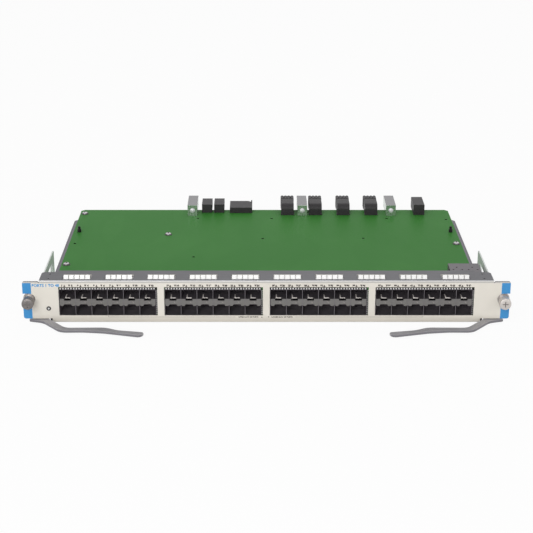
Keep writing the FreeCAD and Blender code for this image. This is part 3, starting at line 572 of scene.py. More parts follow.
# ------------------------------------------------------------------ mesh tools
def new_piece(name: str, verts: Iterable[Point], faces: Iterable[Sequence[int]],
              finish: Finish, body: str = "card") -> bpy.types.Object:
    """Makes a piece at the origin whose place is in its mesh.

    Args:
        name: the piece's name.
        verts: corners, in metres, in the card's frame.
        faces: corner numbers of each face, seen from outside.
        finish: its finish.
        body: the CAD body that it rides on.

    Returns:
        The piece.
    """
    mesh = bpy.data.meshes.new(name)
    mesh.from_pydata([tuple(v) for v in verts], [], [tuple(f) for f in faces])
    turn_outwards(mesh)
    piece = bpy.data.objects.new(name, mesh)
    bpy.context.scene.collection.objects.link(piece)
    dress(piece, finish)
    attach(piece, body)
    return piece


def turn_outwards(mesh: bpy.types.Mesh) -> None:
    """Turns the faces of every closed shell of a mesh outwards."""
    work = bmesh.new()
    work.from_mesh(mesh)
    if all(edge.is_manifold for edge in work.edges):
        bmesh.ops.recalc_face_normals(work, faces=work.faces)
        work.to_mesh(mesh)
    work.free()
    mesh.update()


class Mesh:
    """Collects corners and faces of boxes, prisms and turned shapes."""

    def __init__(self) -> None:
        """Starts empty."""
        self.verts: list[Vector] = []
        self.faces: list[tuple[int, ...]] = []

    def add(self, verts: Iterable[Any], faces: Iterable[Sequence[int]]) -> None:
        """Adds corners, and faces that number them from zero."""
        start = len(self.verts)
        self.verts += [Vector(v) for v in verts]
        self.faces += [tuple(start + i for i in f) for f in faces]

    def box(self, low: Sequence[float], high: Sequence[float]) -> None:
        """Adds a box between two corners."""
        (a, b, c), (d, e, f) = low, high
        self.add([(a, b, c), (d, b, c), (d, e, c), (a, e, c), (a, b, f), (d, b, f), (d, e, f), (a, e, f)],
                 [(0, 3, 2, 1), (4, 5, 6, 7), (0, 1, 5, 4), (1, 2, 6, 5), (2, 3, 7, 6), (3, 0, 4, 7)])

    def prism(self, outline: Sequence[tuple[float, float]], place: Callable[[float, float, float], Any],
              low: float, high: float) -> None:
        """Adds a prism.

        Args:
            outline: corners in turn, anticlockwise as seen from the high end.
            place: turns (u, v, height) into a point.
            low: height of one end.
            high: height of the other end.
        """
        n = len(outline)
        verts = [place(u, v, low) for u, v in outline] + [place(u, v, high) for u, v in outline]
        faces = [tuple(reversed(range(n))), tuple(range(n, 2 * n))]
        faces += [(i, (i + 1) % n, n + (i + 1) % n, n + i) for i in range(n)]
        self.add(verts, faces)

    def rings(self, profile: Sequence[tuple[float, float]], sides: int, centre: Vector,
              axis: Vector, closed: bool) -> list[tuple[int, ...]]:
        """Adds the circles of a (radius, height) profile with bands between them, and numbers the circles."""
        turn = UP.rotation_difference(axis)
        angles = [2 * math.pi * i / sides for i in range(sides)]
        verts = [centre + turn @ Vector((radius * math.cos(angle), radius * math.sin(angle), height))
                 for radius, height in profile for angle in angles]
        start, count = len(self.verts), len(profile)
        circles = [tuple(range(k * sides, (k + 1) * sides)) for k in range(count)]
        faces = []
        for k in range(count if closed else count - 1):
            a, b = circles[k], circles[(k + 1) % count]
            faces += [(a[i], a[(i + 1) % sides], b[(i + 1) % sides], b[i]) for i in range(sides)]
        self.add(verts, faces)
        return [tuple(start + i for i in circle) for circle in circles]

    def turned(self, profile: Sequence[tuple[float, float]], sides: int, centre: Vector,
               axis: Vector = UP) -> list[tuple[int, ...]]:
        """Adds a turned shape, closed at both ends.

        Args:
            profile: (radius, height) pairs from one end to the other.
            sides: how many sides it has.
            centre: where height is zero.
            axis: the way heights grow.

        Returns:
            The corner numbers of each circle, for what is cut into them later.
        """
        circles = self.rings(profile, sides, centre, axis, closed=False)
        self.faces += [circles[0][::-1], circles[-1]]
        return circles

    def tube(self, profile: Sequence[tuple[float, float]], sides: int, centre: Vector,
             axis: Vector = UP) -> None:
        """Adds a ring whose (radius, height) profile closes on itself."""
        self.rings(profile, sides, centre, axis, closed=True)

    def piece(self, name: str, finish: Finish, body: str = "card", slot: str = "") -> bpy.types.Object:
        """Turns what was collected into a piece, with its faces turned outwards."""
        return new_piece(name, self.verts, self.faces, finish, body)


def bevelled(piece: bpy.types.Object, width: float, segments: int = 2,
             angle: float = 30.0) -> bpy.types.Object:
    """Rounds the edges of a piece that are sharper than an angle, in a few steps."""
    bevel = piece.modifiers.new("edge_rounding", "BEVEL")
    bevel.width, bevel.segments, bevel.limit_method = width, segments, "ANGLE"
    bevel.angle_limit = math.radians(angle)
    bevel.harden_normals = True
    piece.data.shade_smooth()
    piece.data.set_sharp_from_angle(angle=math.radians(angle))
    return piece


def merged_copy(node: str, name: str, finish: Finish, width: float, body: str = "card") -> bpy.types.Object:
    """Copies a CAD node with its triangles joined and its edges rounded to a width, and stands for it."""
    work = bmesh.new()
    work.from_mesh(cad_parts[node].data)
    bmesh.ops.remove_doubles(work, verts=work.verts, dist=WELD)
    bmesh.ops.dissolve_limit(work, angle_limit=math.radians(FLAT_ANGLE), verts=work.verts, edges=work.edges)
    verts = [v.co.copy() for v in work.verts]
    faces = [[v.index for v in f.verts] for f in work.faces]
    work.free()
    piece = new_piece(name, verts, faces, finish, body)
    bevelled(piece, width)
    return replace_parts(piece, node)


def shell_boxes(node: str) -> list[tuple[Vector, Vector]]:
    """Lowest and highest corner of each solid of a CAD node, from the left."""
    work = bmesh.new()
    work.from_mesh(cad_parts[node].data)
    work.transform(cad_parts[node].matrix_world)
    bmesh.ops.remove_doubles(work, verts=work.verts, dist=WELD)
    left = set(work.verts)
    found = []
    while left:
        reached, edge = set(), [left.pop()]
        while edge:
            vert = edge.pop()
            reached.add(vert)
            near = {e.other_vert(vert) for e in vert.link_edges} - reached
            edge += near & left
            left -= near
        found.append((Vector([min(v.co[i] for v in reached) for i in range(3)]),
                      Vector([max(v.co[i] for v in reached) for i in range(3)])))
    work.free()
    return sorted(found, key=lambda pair: tuple(pair[0]))


def shell_middles(node: str) -> list[Vector]:
    """Middle of each solid of a CAD node, from the left."""
    return [(low + high) / 2 for low, high in shell_boxes(node)]


def cross(reach: float, half: float) -> list[tuple[float, float]]:
    """Outline of an upright cross, by the reach of its arms and half their width."""
    arm = [(reach, -half), (reach, half), (half, half)]
    return [(u * math.cos(a) - v * math.sin(a), u * math.sin(a) + v * math.cos(a))
            for a in (0, math.pi / 2, math.pi, 3 * math.pi / 2) for u, v in arm]


def level(u: float, v: float, height: float) -> Point:
    """Places a prism's outline on a level plane."""
    return (u, v, height)


def above(place: Vector) -> Callable[[float, float, float], Point]:
    """Places a prism's outline on a level plane, about a point."""
    return lambda u, v, height: (place.x + u, place.y + v, height)


def facing_front(place: Vector) -> Callable[[float, float, float], Point]:
    """Places a prism's outline upright, about a point, with its depth inwards."""
    return lambda u, v, depth: (place.x + u, place.y + depth, place.z + v)


def cut_corners(x0: float, y0: float, x1: float, y1: float, cut: float) -> list[tuple[float, float]]:
    """Outline of a rectangle with its corners cut off."""
    return [(x0 + cut, y0), (x1 - cut, y0), (x1, y0 + cut), (x1, y1 - cut), (x1 - cut, y1), (x0 + cut, y1),
            (x0, y1 - cut), (x0, y0 + cut)]


def joint_rows(x: float, y: float, columns: int, rows: int, pitch: float) -> list[tuple[float, float]]:
    """Places of a staggered field of joints about (x, y)."""
    return [(x + (i - (columns - 1) / 2 + (k % 2) * 0.5) * pitch, y + (k - (rows - 1) / 2) * pitch)
            for k in range(rows) for i in range(columns)]


def carved(shape: "Mesh", tool: "Mesh", name: str, finish: Finish, body: str = "card") -> bpy.types.Object:
    """Makes a piece of a shape with a tool's shape taken out of it."""
    host = bpy.data.objects.new(name + "_host", closed_mesh(shape, name + "_host"))
    cutter = bpy.data.objects.new(name + "_tool", closed_mesh(tool, name + "_tool"))
    for item in (host, cutter):
        bpy.context.scene.collection.objects.link(item)
    carve = host.modifiers.new("carve", "BOOLEAN")
    carve.operation, carve.solver, carve.object = "DIFFERENCE", "EXACT", cutter
    bpy.context.view_layer.update()
    result = bpy.data.meshes.new_from_object(host.evaluated_get(bpy.context.evaluated_depsgraph_get()))
    verts, faces = [v.co.copy() for v in result.vertices], [tuple(f.vertices) for f in result.polygons]
    for item in (host, cutter):
        bpy.data.objects.remove(item)
    piece = new_piece(name, verts, faces, finish, body)
    piece.data.shade_smooth()
    piece.data.set_sharp_from_angle(angle=math.radians(SHARP_ANGLE))
    return piece


def closed_mesh(shape: "Mesh", name: str) -> bpy.types.Mesh:
    """Turns a collected shape into a mesh with its faces outwards."""
    mesh = bpy.data.meshes.new(name)
    mesh.from_pydata([tuple(v) for v in shape.verts], [], shape.faces)
    turn_outwards(mesh)
    return mesh


# ------------------------------------------------------------------ geometry nodes
class GeometryTree:
    """A Geometry Nodes tree with named inputs, ending in Realize Instances and Set Material."""

    KINDS = {int: "NodeSocketInt", float: "NodeSocketFloat", bpy.types.Object: "NodeSocketObject",
             bpy.types.Material: "NodeSocketMaterial"}

    def __init__(self, name: str, sizes: dict[str, Any]) -> None:
        """Starts a tree that has these named inputs."""
        self.tree = bpy.data.node_groups.new(name, "GeometryNodeTree")
        self.values: dict[str, Any] = {}
        self.tree.interface.new_socket("Geometry", in_out="OUTPUT", socket_type="NodeSocketGeometry")
        self.tree.interface.new_socket("Geometry", in_out="INPUT", socket_type="NodeSocketGeometry")
        for key, value in sizes.items():
            kind = next(self.KINDS[t] for t in self.KINDS if isinstance(value, t))
            made = self.tree.interface.new_socket(key, in_out="INPUT", socket_type=kind)
            self.values[made.identifier] = value
        self.given = self.tree.nodes.new("NodeGroupInput").outputs

    def node(self, kind: str, settings: dict[str, Any] | None = None,
             inputs: dict[Any, Any] | None = None) -> bpy.types.Node:
        """Adds a node to the tree."""
        return add_node(self.tree, kind, settings, inputs)

    def piece(self, name: str, made: bpy.types.NodeSocket, finish: Finish, body: str = "card",
              slot: str = "", places: Sequence[Point] = ((0.0, 0.0, 0.0),)) -> bpy.types.Object:
        """Ends the tree with some geometry, runs it on points and keeps the result as a plain piece."""
        real = self.node("GeometryNodeRealizeInstances", inputs={0: made})
        painted = self.node("GeometryNodeSetMaterial",
                            inputs={"Geometry": real.outputs[0], "Material": finish.material})
        self.node("NodeGroupOutput", inputs={0: painted.outputs[0]})
        mesh = bpy.data.meshes.new(name + "_places")
        mesh.from_pydata([tuple(p) for p in places], [], [])
        host = bpy.data.objects.new(name, mesh)
        bpy.context.scene.collection.objects.link(host)
        grow = host.modifiers.new("grow", "NODES")
        grow.node_group = self.tree
        for identifier, value in self.values.items():
            grow[identifier] = value
        bpy.context.view_layer.update()
        seen = host.evaluated_get(bpy.context.evaluated_depsgraph_get())
        result = bpy.data.meshes.new_from_object(seen)
        host.modifiers.remove(grow)
        host.data = result
        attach(host, body)
        return host


def template(mesh: Mesh, name: str) -> bpy.types.Object:
    """Keeps a small shape out of the scene, for a tree to repeat."""
    return bpy.data.objects.new(name, closed_mesh(mesh, name))


def repeated(name: str, shape: Mesh, places: Sequence[Point], finish: Finish, body: str = "card",
             slot: str = "", size: float = 1.0) -> bpy.types.Object:
    """Repeats a small shape, drawn about its own origin, at places, through a Geometry Nodes tree."""
    tree = GeometryTree(name + "_tree", {"Shape": template(shape, name + "_shape"), "Size": size})
    info = tree.node("GeometryNodeObjectInfo", inputs={"Object": tree.given["Shape"]})
    points = tree.node("GeometryNodeMeshToPoints", inputs={"Mesh": tree.given["Geometry"]})
    spread = tree.node("GeometryNodeInstanceOnPoints", inputs={
        "Points": points.outputs[0], "Instance": info.outputs["Geometry"], "Scale": tree.given["Size"]})
    return tree.piece(name, spread.outputs[0], finish, body, slot, places)


def middle_at(node: str, depth: float | None = None) -> Vector:
    """Middle of a CAD node, moved to its own front or to a given depth."""
    low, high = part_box(node)
    return Vector(((low.x + high.x) / 2, low.y if depth is None else depth, (low.z + high.z) / 2))


def column_middles(block: int) -> list[float]:
    """Middles of the columns of a block of cages, across the card."""
    low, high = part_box(f"cage_floor_{block}")
    pitch = (high.x - low.x) / COLUMNS
    return [low.x + (i + 0.5) * pitch for i in range(COLUMNS)]


# ------------------------------------------------------------------ sub-assemblies
class Assembly:
    """A group of pieces that is built, and then dressed."""

    NODES: dict[str, Finish] = {}        # CAD nodes that keep their own shape

    def build(self) -> None:
        """Builds the pieces."""
        raise NotImplementedError

    def dress(self) -> None:
        """Gives the CAD nodes that keep their own shape their finishes."""
        for name, finish in self.NODES.items():
            dress_node(name, finish)


@dataclass
class FrontPanel(Assembly):
    """The formed panel with its marks, lamp bezel, rivets black as painted shade, and black pieces as painted
    shadow in the gaps by the levers.
    """

    NODES = {"faceplate": Finish.PANEL, "flange_gaskets": Finish.GASKET, "status_lens": Finish.LAMP}

    number_size: float = 2.2 * MM
    number_weight: float = 0.22 * MM
    number_offset: float = 4.45 * MM
    number_height: float = 35.0 * MM
    pointer: float = 2.1 * MM
    pointer_offset: float = 2.15 * MM
    rule_height: float = 5.0 * MM
    rule_width: float = 0.25 * MM
    rule_span: tuple[float, float] = (-141.0 * MM, 140.0 * MM)
    range_place: tuple[float, float] = (-11.9 * MM, 0.1 * MM)    # from the first cage and the numbers
    range_size: float = 3.6 * MM
    range_weight: float = 0.14 * MM
    legend_span: tuple[float, float] = (-27.5 * MM, 25.5 * MM)
    legend_offset: float = 15.0 * MM
    legend_size: float = 1.7 * MM
    legend_weight: float = 0.07 * MM
    legend_pointer: float = 1.1 * MM
    legend_pointer_offset: float = 3.0 * MM
    proud: float = 0.015 * MM
    rim_width: float = 0.3 * MM
    rivet_across: float = 193.7 * MM
    rivet_depths: tuple[float, float] = (6.0 * MM, 17.0 * MM)
    rivet_radius: float = 1.08 * MM
    stop_plan: tuple[tuple[float, float], ...] = (
        (191.0 * MM, 0.0), (191.0 * MM, -1.7 * MM), (191.5 * MM, -1.5 * MM), (192.7 * MM, -0.3 * MM),
        (192.7 * MM, 0.0))
    stop_rise: tuple[float, float] = (0.9 * MM, 3.9 * MM)

    def build(self) -> None:
        """Builds the printed marks and the lamp's bezel."""
        self.print_numbers()
        self.print_legends()
        self.print_rule()
        self.turn_bezel()
        self.set_rivets()
        self.set_stops()

    def print_numbers(self) -> None:
        """Prints a number and a pointer for the upper and the lower port of each column."""
        marks = Mesh()
        number = 0
        for block in BLOCKS:
            for middle in column_middles(block):
                for side in (-1, 1):
                    number += 1
                    place = (middle + side * self.number_offset, self.number_height)
                    self.add_text(marks, str(number), place, self.number_size, self.number_weight)
                    self.add_pointer(marks, (middle + side * self.pointer_offset, self.number_height),
                                     self.pointer, side < 0)
        marks.piece("port_numbers", Finish.PRINT)

    def print_legends(self) -> None:
        """Prints the range of ports at the top left, and what the pointers mean between the rule's halves."""
        blue = Mesh()
        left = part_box("cage_floor_1")[0].x
        place = (left + self.range_place[0], self.number_height + self.range_place[1])
        self.add_text(blue, "PORTS 1 TO 48", place, self.range_size, self.range_weight)
        blue.piece("range_legend", Finish.BLUE_PRINT)
        legend = Mesh()
        middle = sum(self.legend_span) / 2
        for side, text in ((-1, "UPPER ROW OF PORTS"), (1, "LOWER ROW OF PORTS")):
            self.add_text(legend, text, (middle + side * self.legend_offset, self.rule_height),
                          self.legend_size, self.legend_weight)
            self.add_pointer(legend, (middle + side * self.legend_pointer_offset, self.rule_height),
                             self.legend_pointer, side < 0)
        legend.piece("pointer_legend", Finish.PRINT)

    def add_text(self, marks: Mesh, text: str, place: tuple[float, float], size: float,
                 weight: float) -> None:
        """Adds a word or number about a place on the face, with its strokes fattened by a weight."""
        curve = bpy.data.curves.new("mark", "FONT")
        curve.body, curve.size, curve.resolution_u, curve.offset = text, size, 2, weight
        curve.align_x, curve.align_y = "CENTER", "CENTER"
        shown = bpy.data.objects.new("mark", curve)
        bpy.context.scene.collection.objects.link(shown)
        bpy.context.view_layer.update()
        mesh = bpy.data.meshes.new_from_object(shown.evaluated_get(bpy.context.evaluated_depsgraph_get()))
        marks.add([(place[0] + v.co.x, FRONT - self.proud, place[1] + v.co.y) for v in mesh.vertices],
                  [tuple(p.vertices) for p in mesh.polygons])
        bpy.data.objects.remove(shown)
        bpy.data.meshes.remove(mesh)

    def add_pointer(self, marks: Mesh, place: tuple[float, float], size: float, up: bool) -> None:
        """Adds a small triangle that points to the upper or the lower port."""
        half = size / 2
        tip = half if up else -half
        corners = [(-half, -tip), (half, -tip), (0.0, tip)]
        order = (0, 1, 2) if up else (0, 2, 1)
        marks.add([(place[0] + u, FRONT - self.proud, place[1] + v) for u, v in corners], [order])

    def print_rule(self) -> None:
        """Prints the thin rule below the ports, broken for the row names, with its ends turned up."""
        (a, d), (b, c), w, z = self.rule_span, self.legend_span, self.rule_width, self.rule_height
        marks = Mesh()
        top, end = z + w, z + 6 * w
        runs = ((a, b, z, top), (c, d, z, top), (a, a + w, top, end), (d - w, d, top, end))
        for x0, x1, z0, z1 in runs:
            y = FRONT - self.proud
            marks.add([(x0, y, z0), (x1, y, z0), (x1, y, z1), (x0, y, z1)], [(0, 1, 2, 3)])
        marks.piece("panel_rule", Finish.RULE)

    def turn_bezel(self) -> None:
        """Turns the dark ring round the status lamp."""
        low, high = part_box("status_lens")
        radius = (high.x - low.x) / 2
        w = self.rim_width
        ring = Mesh()
        ring.tube([(radius - 0.05 * MM, 0.0), (radius - 0.05 * MM, 0.28 * MM), (radius + 0.4 * w, 0.34 * MM),
                   (radius + w, 0.18 * MM), (radius + w, 0.0)], 32, middle_at("status_lens", FRONT), -INWARD)
        ring.piece("lamp_bezel", Finish.KNOB_DARK, slot="lamp")

    def set_rivets(self) -> None:
        """Turns the cupped rivets at the ends of the top flange, black as painted shade in the flange's holes.
        """
        r, rivets = self.rivet_radius, Mesh()
        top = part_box("faceplate")[1].z
        profile = [(r, -1.6 * MM), (r, -0.15 * MM), (0.8 * r, -0.05 * MM), (0.6 * r, -0.3 * MM),
                   (0.3 * r, -0.9 * MM)]
        for side in (-1, 1):
            for depth in self.rivet_depths:
                rivets.turned(profile, 16, Vector((side * self.rivet_across, FRONT + depth, top)))
        rivets.piece("flange_rivets", Finish.POST, slot="black_plastic")

    def set_stops(self) -> None:
        """Sets a small black piece on the panel beside each lever, in the corner of its opening, as painted
        shadow in the gap there.
        """
        gap_shades = Mesh()
        low, high = self.stop_rise
        for side in (-1, 1):
            corners = [(side * x, FRONT + y) for x, y in self.stop_plan]
            gap_shades.prism(corners if side > 0 else corners[::-1], level, low, high)
        bevelled(gap_shades.piece("lever_stops", Finish.POST, slot="black_plastic"), 0.15 * MM, 1)


@dataclass
class ModuleCages(Assembly):
    """Four blocks of stacked cages, with module latches, side fingers, and painted highlights on the fingers
    and the separators.
    """

    NODES = {f"{name}_{block}": finish for block in BLOCKS for name, finish in (
        ("cage_shell", Finish.CAGE), ("cage_floor", Finish.CAGE_FLOOR), ("cage_dividers", Finish.DIVIDER),
        ("port_separators", Finish.SEPARATOR), ("port_receptacles", Finish.RECEPTACLE),
        ("cage_springs", Finish.FINGERS))}

    latch_span: tuple[float, float] = (-2.3 * MM, 2.2 * MM)
    latch_setback: float = 2.2 * MM
    latch_depth: float = 8.2 * MM
    latch_sheet: float = 0.5 * MM
    latch_height: float = 1.0 * MM
    latch_bar: float = 1.0 * MM
    tip_count: int = 6
    tip_width: float = 1.1 * MM
    tip_rise: tuple[float, float] = (31.55 * MM, 32.55 * MM)
    finger_pitch: float = 1.95 * MM
    finger_width: float = 0.9 * MM
    finger_reach: float = 1.25 * MM
    finger_crest: float = 1.5 * MM
    finger_depth: float = 4.5 * MM
    finger_sheet: float = 0.15 * MM
    strip_span: tuple[float, float] = (0.25 * MM, 7.2 * MM)
    wall: float = 0.3 * MM
    window: float = 1.5 * MM

    def build(self) -> None:
        """Builds the latches, the fingers' painted highlights, the side fingers and the separators' painted
        highlight marks.
        """
        self.add_latches()
        self.add_finger_tips()
        self.add_side_fingers()
        self.add_windows()

    def add_latches(self) -> None:
        """Repeats the hooked latch behind the notch of every separator."""
        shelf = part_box("port_separators_1")[1].z
        shape = Mesh()
        (a, b), t, h = self.latch_span, self.latch_sheet, self.latch_height
        y = self.latch_setback
        shape.box((a, y, -0.35 * h), (b, y + t, 0.4 * h))
        shape.box((a, y + t, 0.1 * h), (a + self.latch_bar, y + self.latch_depth, 0.5 * h))
        places = [(x, FRONT, shelf) for b in BLOCKS for x in column_middles(b)]
        repeated("port_latches", shape, places, Finish.LATCH, slot="bright_steel")

    def add_finger_tips(self) -> None:
        """Repeats thin bright patches on the slopes of the shielding fingers above every column, as painted
        highlights on their crests.
        """
        low, high = self.tip_rise
        half, cut, skin = self.tip_width / 2, 0.25 * MM, 0.07 * MM
        start = 0.15 * MM
        depth = high - low
        shape = Mesh()
        shape.prism([(-half, cut), (-half + cut, 0.0), (half - cut, 0.0), (half, cut), (half, depth - cut),
                     (half - cut, depth), (cut - half, depth), (-half, depth - cut)],
                    lambda u, v, lift: (u, start + v - lift, low + v + lift), 0.0, skin)
        places = []
        for block in BLOCKS:
            middles = column_middles(block)
            pitch = (middles[1] - middles[0]) / self.tip_count
            places += [(x + (i - (self.tip_count - 1) / 2) * pitch, FRONT, 0.0) for x in middles
                       for i in range(self.tip_count)]
        repeated("finger_tips", shape, places, Finish.TIP, slot="spring_steel")

    def add_side_fingers(self) -> None:
        """Repeats the arched shielding fingers up the right side of every block, over black strips that are
        painted shade behind them.
        """
        shape = Mesh()
        t, half = self.finger_sheet, self.finger_width / 2
        arch = [(0.2 * MM, t), (self.finger_crest, self.finger_reach), (self.finger_depth, t),
                (self.finger_crest, self.finger_reach - 2 * t)]
        shape.prism(arch, lambda u, v, height: (v, u, height), -half, half)
        places = []
        finger_shade_backs = Mesh()
        for block in BLOCKS:
            right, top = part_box(f"cage_floor_{block}")[1].x + self.wall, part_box(f"cage_shell_{block}")[1].z
            count = int((top - BOARD_TOP) / self.finger_pitch)
            start = BOARD_TOP + (top - BOARD_TOP - (count - 1) * self.finger_pitch) / 2
            places += [(right, FRONT, start + i * self.finger_pitch) for i in range(count)]
            finger_shade_backs.box((right, FRONT + self.strip_span[0], BOARD_TOP),
                      (right + t, FRONT + self.strip_span[1], top))
        repeated("side_fingers", shape, places, Finish.SIDE_FINGERS, slot="spring_steel")
        bevelled(finger_shade_backs.piece("side_finger_strips", Finish.POST, slot="spring_steel"), 0.04 * MM, 1)

    def add_windows(self) -> None:
        """Repeats a slanted pale mark on the face of every separator, as a painted highlight."""
        low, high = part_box("port_separators_1")
        w = self.window
        shape = Mesh()
        shape.prism([(0.2 * w, 0.55 * w), (-0.1 * w, 0.55 * w), (0.55 * w, -0.45 * w), (1.0 * w, -0.45 * w)],
                    lambda u, v, height: (u, height, v), 0.0, -0.12 * MM)
        middle = (low.z + high.z) / 2
        places = [(x + 0.8 * MM, FRONT, middle) for b in BLOCKS for x in column_middles(b)]
        repeated("port_lamp_windows", shape, places, Finish.WINDOW, slot="lamp")


@dataclass
class BoardAndTray(Assembly):
    """The circuit board with its posts, screws and chips, on the steel tray."""

    NODES = {"circuit_board": Finish.BOARD, "board_standoffs": Finish.BRIGHT, "lever_pins": Finish.BRIGHT}

    screw_radius: float = 3.0 * MM
    screw_height: float = 2.2 * MM
    shank_radius: float = 1.25 * MM
    shank_end: float = 1.2 * MM
    recess_width: float = 0.8 * MM
    post_base: float = 2.0 * MM
    post_step: float = 3.4 * MM
    post_tip: float = 1.4 * MM
    edge: float = 0.22 * MM
    lid_inset: float = 0.14      # of a chip's width
    dot_inset: float = 0.07
    dot_radius: float = 0.6 * MM
    capacitor: Point = (1.0 * MM, 0.5 * MM, 0.5 * MM)
    capacitor_pitch: float = 3.4 * MM
    capacitor_gap: float = 2.4 * MM
    joint_pitch: float = 1.27 * MM

    def build(self) -> None:
        """Builds the rounded sheet parts, fasteners, posts, chips and solder joints."""
        merged_copy("tray", "tray_sheet", Finish.TRAY, self.edge)
        merged_copy("corner_bracket", "corner_cover", Finish.COVER, self.edge)
        for side in SIDES:
            merged_copy(f"{side}_side_bracket", f"{side}_truss", Finish.BRACKET, self.edge)
        self.add_screws()
        self.add_posts()
        self.add_chips()
        self.add_capacitors()
        self.add_joints()

    def add_screws(self) -> None:
        """Stands a domed, cross-recessed screw for each board screw, with painted shade in its recess and a
        dark washer under it as painted shadow.
        """
        r, h, z = self.screw_radius, self.screw_height, BOARD_TOP
        profile = [(self.shank_radius, self.shank_end), (self.shank_radius, z), (0.97 * r, z),
                   (r, z + 0.2 * h), (0.9 * r, z + 0.6 * h), (0.68 * r, z + 0.88 * h), (0.4 * r, z + h)]
        places = shell_middles("board_screws")
        heads, tools, recess_shades = Mesh(), Mesh(), Mesh()
        span, w = 0.62 * r, self.recess_width / 2
        for place in places:
            heads.turned(profile, 28, Vector((place.x, place.y, 0.0)))
            tools.prism(cross(span, w), above(place), z + 0.35 * h, z + 1.5 * h)
            # painted shade: dark crosses in the screws' recesses
            recess_shades.prism(cross(0.96 * span, 0.92 * w), above(place), z + 0.36 * h, z + 0.62 * h)
        recess_shades.piece("pan_screw_recesses", Finish.KNOB_DARK, slot="dark_sheet")
        screws = carved(heads, tools, "pan_screws", Finish.PAN_SCREW)
        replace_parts(screws, "board_screws")
        # a washer under each head, dark as painted shadow round the screw
        ring = Mesh()
        ring.tube([(0.9 * r, z), (1.3 * r, z), (1.26 * r, z + 0.12 * h), (0.9 * r, z + 0.12 * h)], 28, ORIGIN)
        repeated("screw_washers", ring, [(p.x, p.y, 0.0) for p in places], Finish.KNOB_DARK,
                 slot="dark_sheet")

    def add_posts(self) -> None:
        """Turns the stepped posts with rounded tips."""
        posts = Mesh()
        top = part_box("locating_posts")[1].z
        b, t, step = self.post_base, self.post_tip, BOARD_TOP + self.post_step
        profile = [(b, BOARD_TOP), (b, step - 0.4 * MM), (b - 0.3 * MM, step), (t, step), (t, top - 0.5 * MM),
                   (0.5 * t, top)]
        for place in shell_middles("locating_posts"):
            posts.turned(profile, 24, Vector((place.x, place.y, 0.0)))
        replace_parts(posts.piece("guide_posts", Finish.POST, slot="black_plastic"), "locating_posts")

    @staticmethod
    def chip_boxes() -> list[tuple[Vector, Vector]]:
        """Lowest and highest corner of each chip under the board."""
        return shell_boxes("switch_chip") + shell_boxes("port_chips")

    def add_chips(self) -> None:
        """Rounds the chip packages, and sinks a lid and a dot that marks the first pin into each."""
        for node in ("switch_chip", "port_chips"):
            merged_copy(node, f"{node}_packages", Finish.CHIP, 0.35 * MM)
        lids = Mesh()
        for low, high in self.chip_boxes():
            side = high.x - low.x
            inset, dot = self.lid_inset * side, self.dot_inset * side
            sunk = low.z + 0.05 * MM
            corners = cut_corners(low.x + inset, low.y + inset, high.x - inset, high.y - inset, 0.04 * side)
            lids.prism(corners, level, low.z - 0.25 * MM, sunk)
            lids.turned([(self.dot_radius, low.z - 0.08 * MM), (self.dot_radius, sunk)], 20,
                        Vector((low.x + dot, low.y + dot, 0.0)))
        bevelled(lids.piece("chip_lids", Finish.LID, slot="zinc_steel"), 0.08 * MM, 1)

    def add_capacitors(self) -> None:
        """Sets a row of small capacitors along each side of every chip, under the board."""
        places = []
        for low, high in self.chip_boxes():
            side, gap = high.x - low.x, self.capacitor_gap
            count = int(side / self.capacitor_pitch)
            for i in range(count):
                run = (i + 0.5) * side / count
                places += [(low.x + run, low.y - gap), (low.x + run, high.y + gap),
                           (low.x - gap, low.y + run), (high.x + gap, low.y + run)]
        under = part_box("circuit_board")[0].z
        a, b, c = self.capacitor
        body = Mesh()
        body.box((-0.6 * a, -b, -c), (0.6 * a, b, 0.0))
        caps = Mesh()
        for start, end in ((-a, -0.6 * a), (0.6 * a, a)):
            caps.box((start, -1.05 * b, -1.05 * c), (end, 1.05 * b, 0.0))
        spots = [(x, y, under) for x, y in places]
        repeated("capacitor_bodies", body, spots, Finish.CERAMIC, slot="chip_black")
        repeated("capacitor_ends", caps, spots, Finish.TINNED, slot="bright_steel")

    def add_joints(self) -> None:
        """Grows the rows of solder joints under the receptacles and the rear plugs."""
        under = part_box("circuit_board")[0].z
        spots = []
        for block in BLOCKS:
            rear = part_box(f"port_receptacles_{block}")[1].y
            for x in column_middles(block):
                spots += joint_rows(x, rear - 5.0 * MM, 8, 4, self.joint_pitch)
        for i in PLUGS:
            low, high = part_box(f"backplane_plug_{i}")
            spots += joint_rows((low.x + high.x) / 2, low.y + 6.0 * MM, 8, 6, self.joint_pitch * 1.2)
        dome = Mesh()
        dome.turned([(0.42 * MM, 0.0), (0.34 * MM, -0.25 * MM), (0.12 * MM, -0.7 * MM)], 8, ORIGIN)
        repeated("solder_joints", dome, [(x, y, under) for x, y in spots], Finish.TINNED, slot="bright_steel")


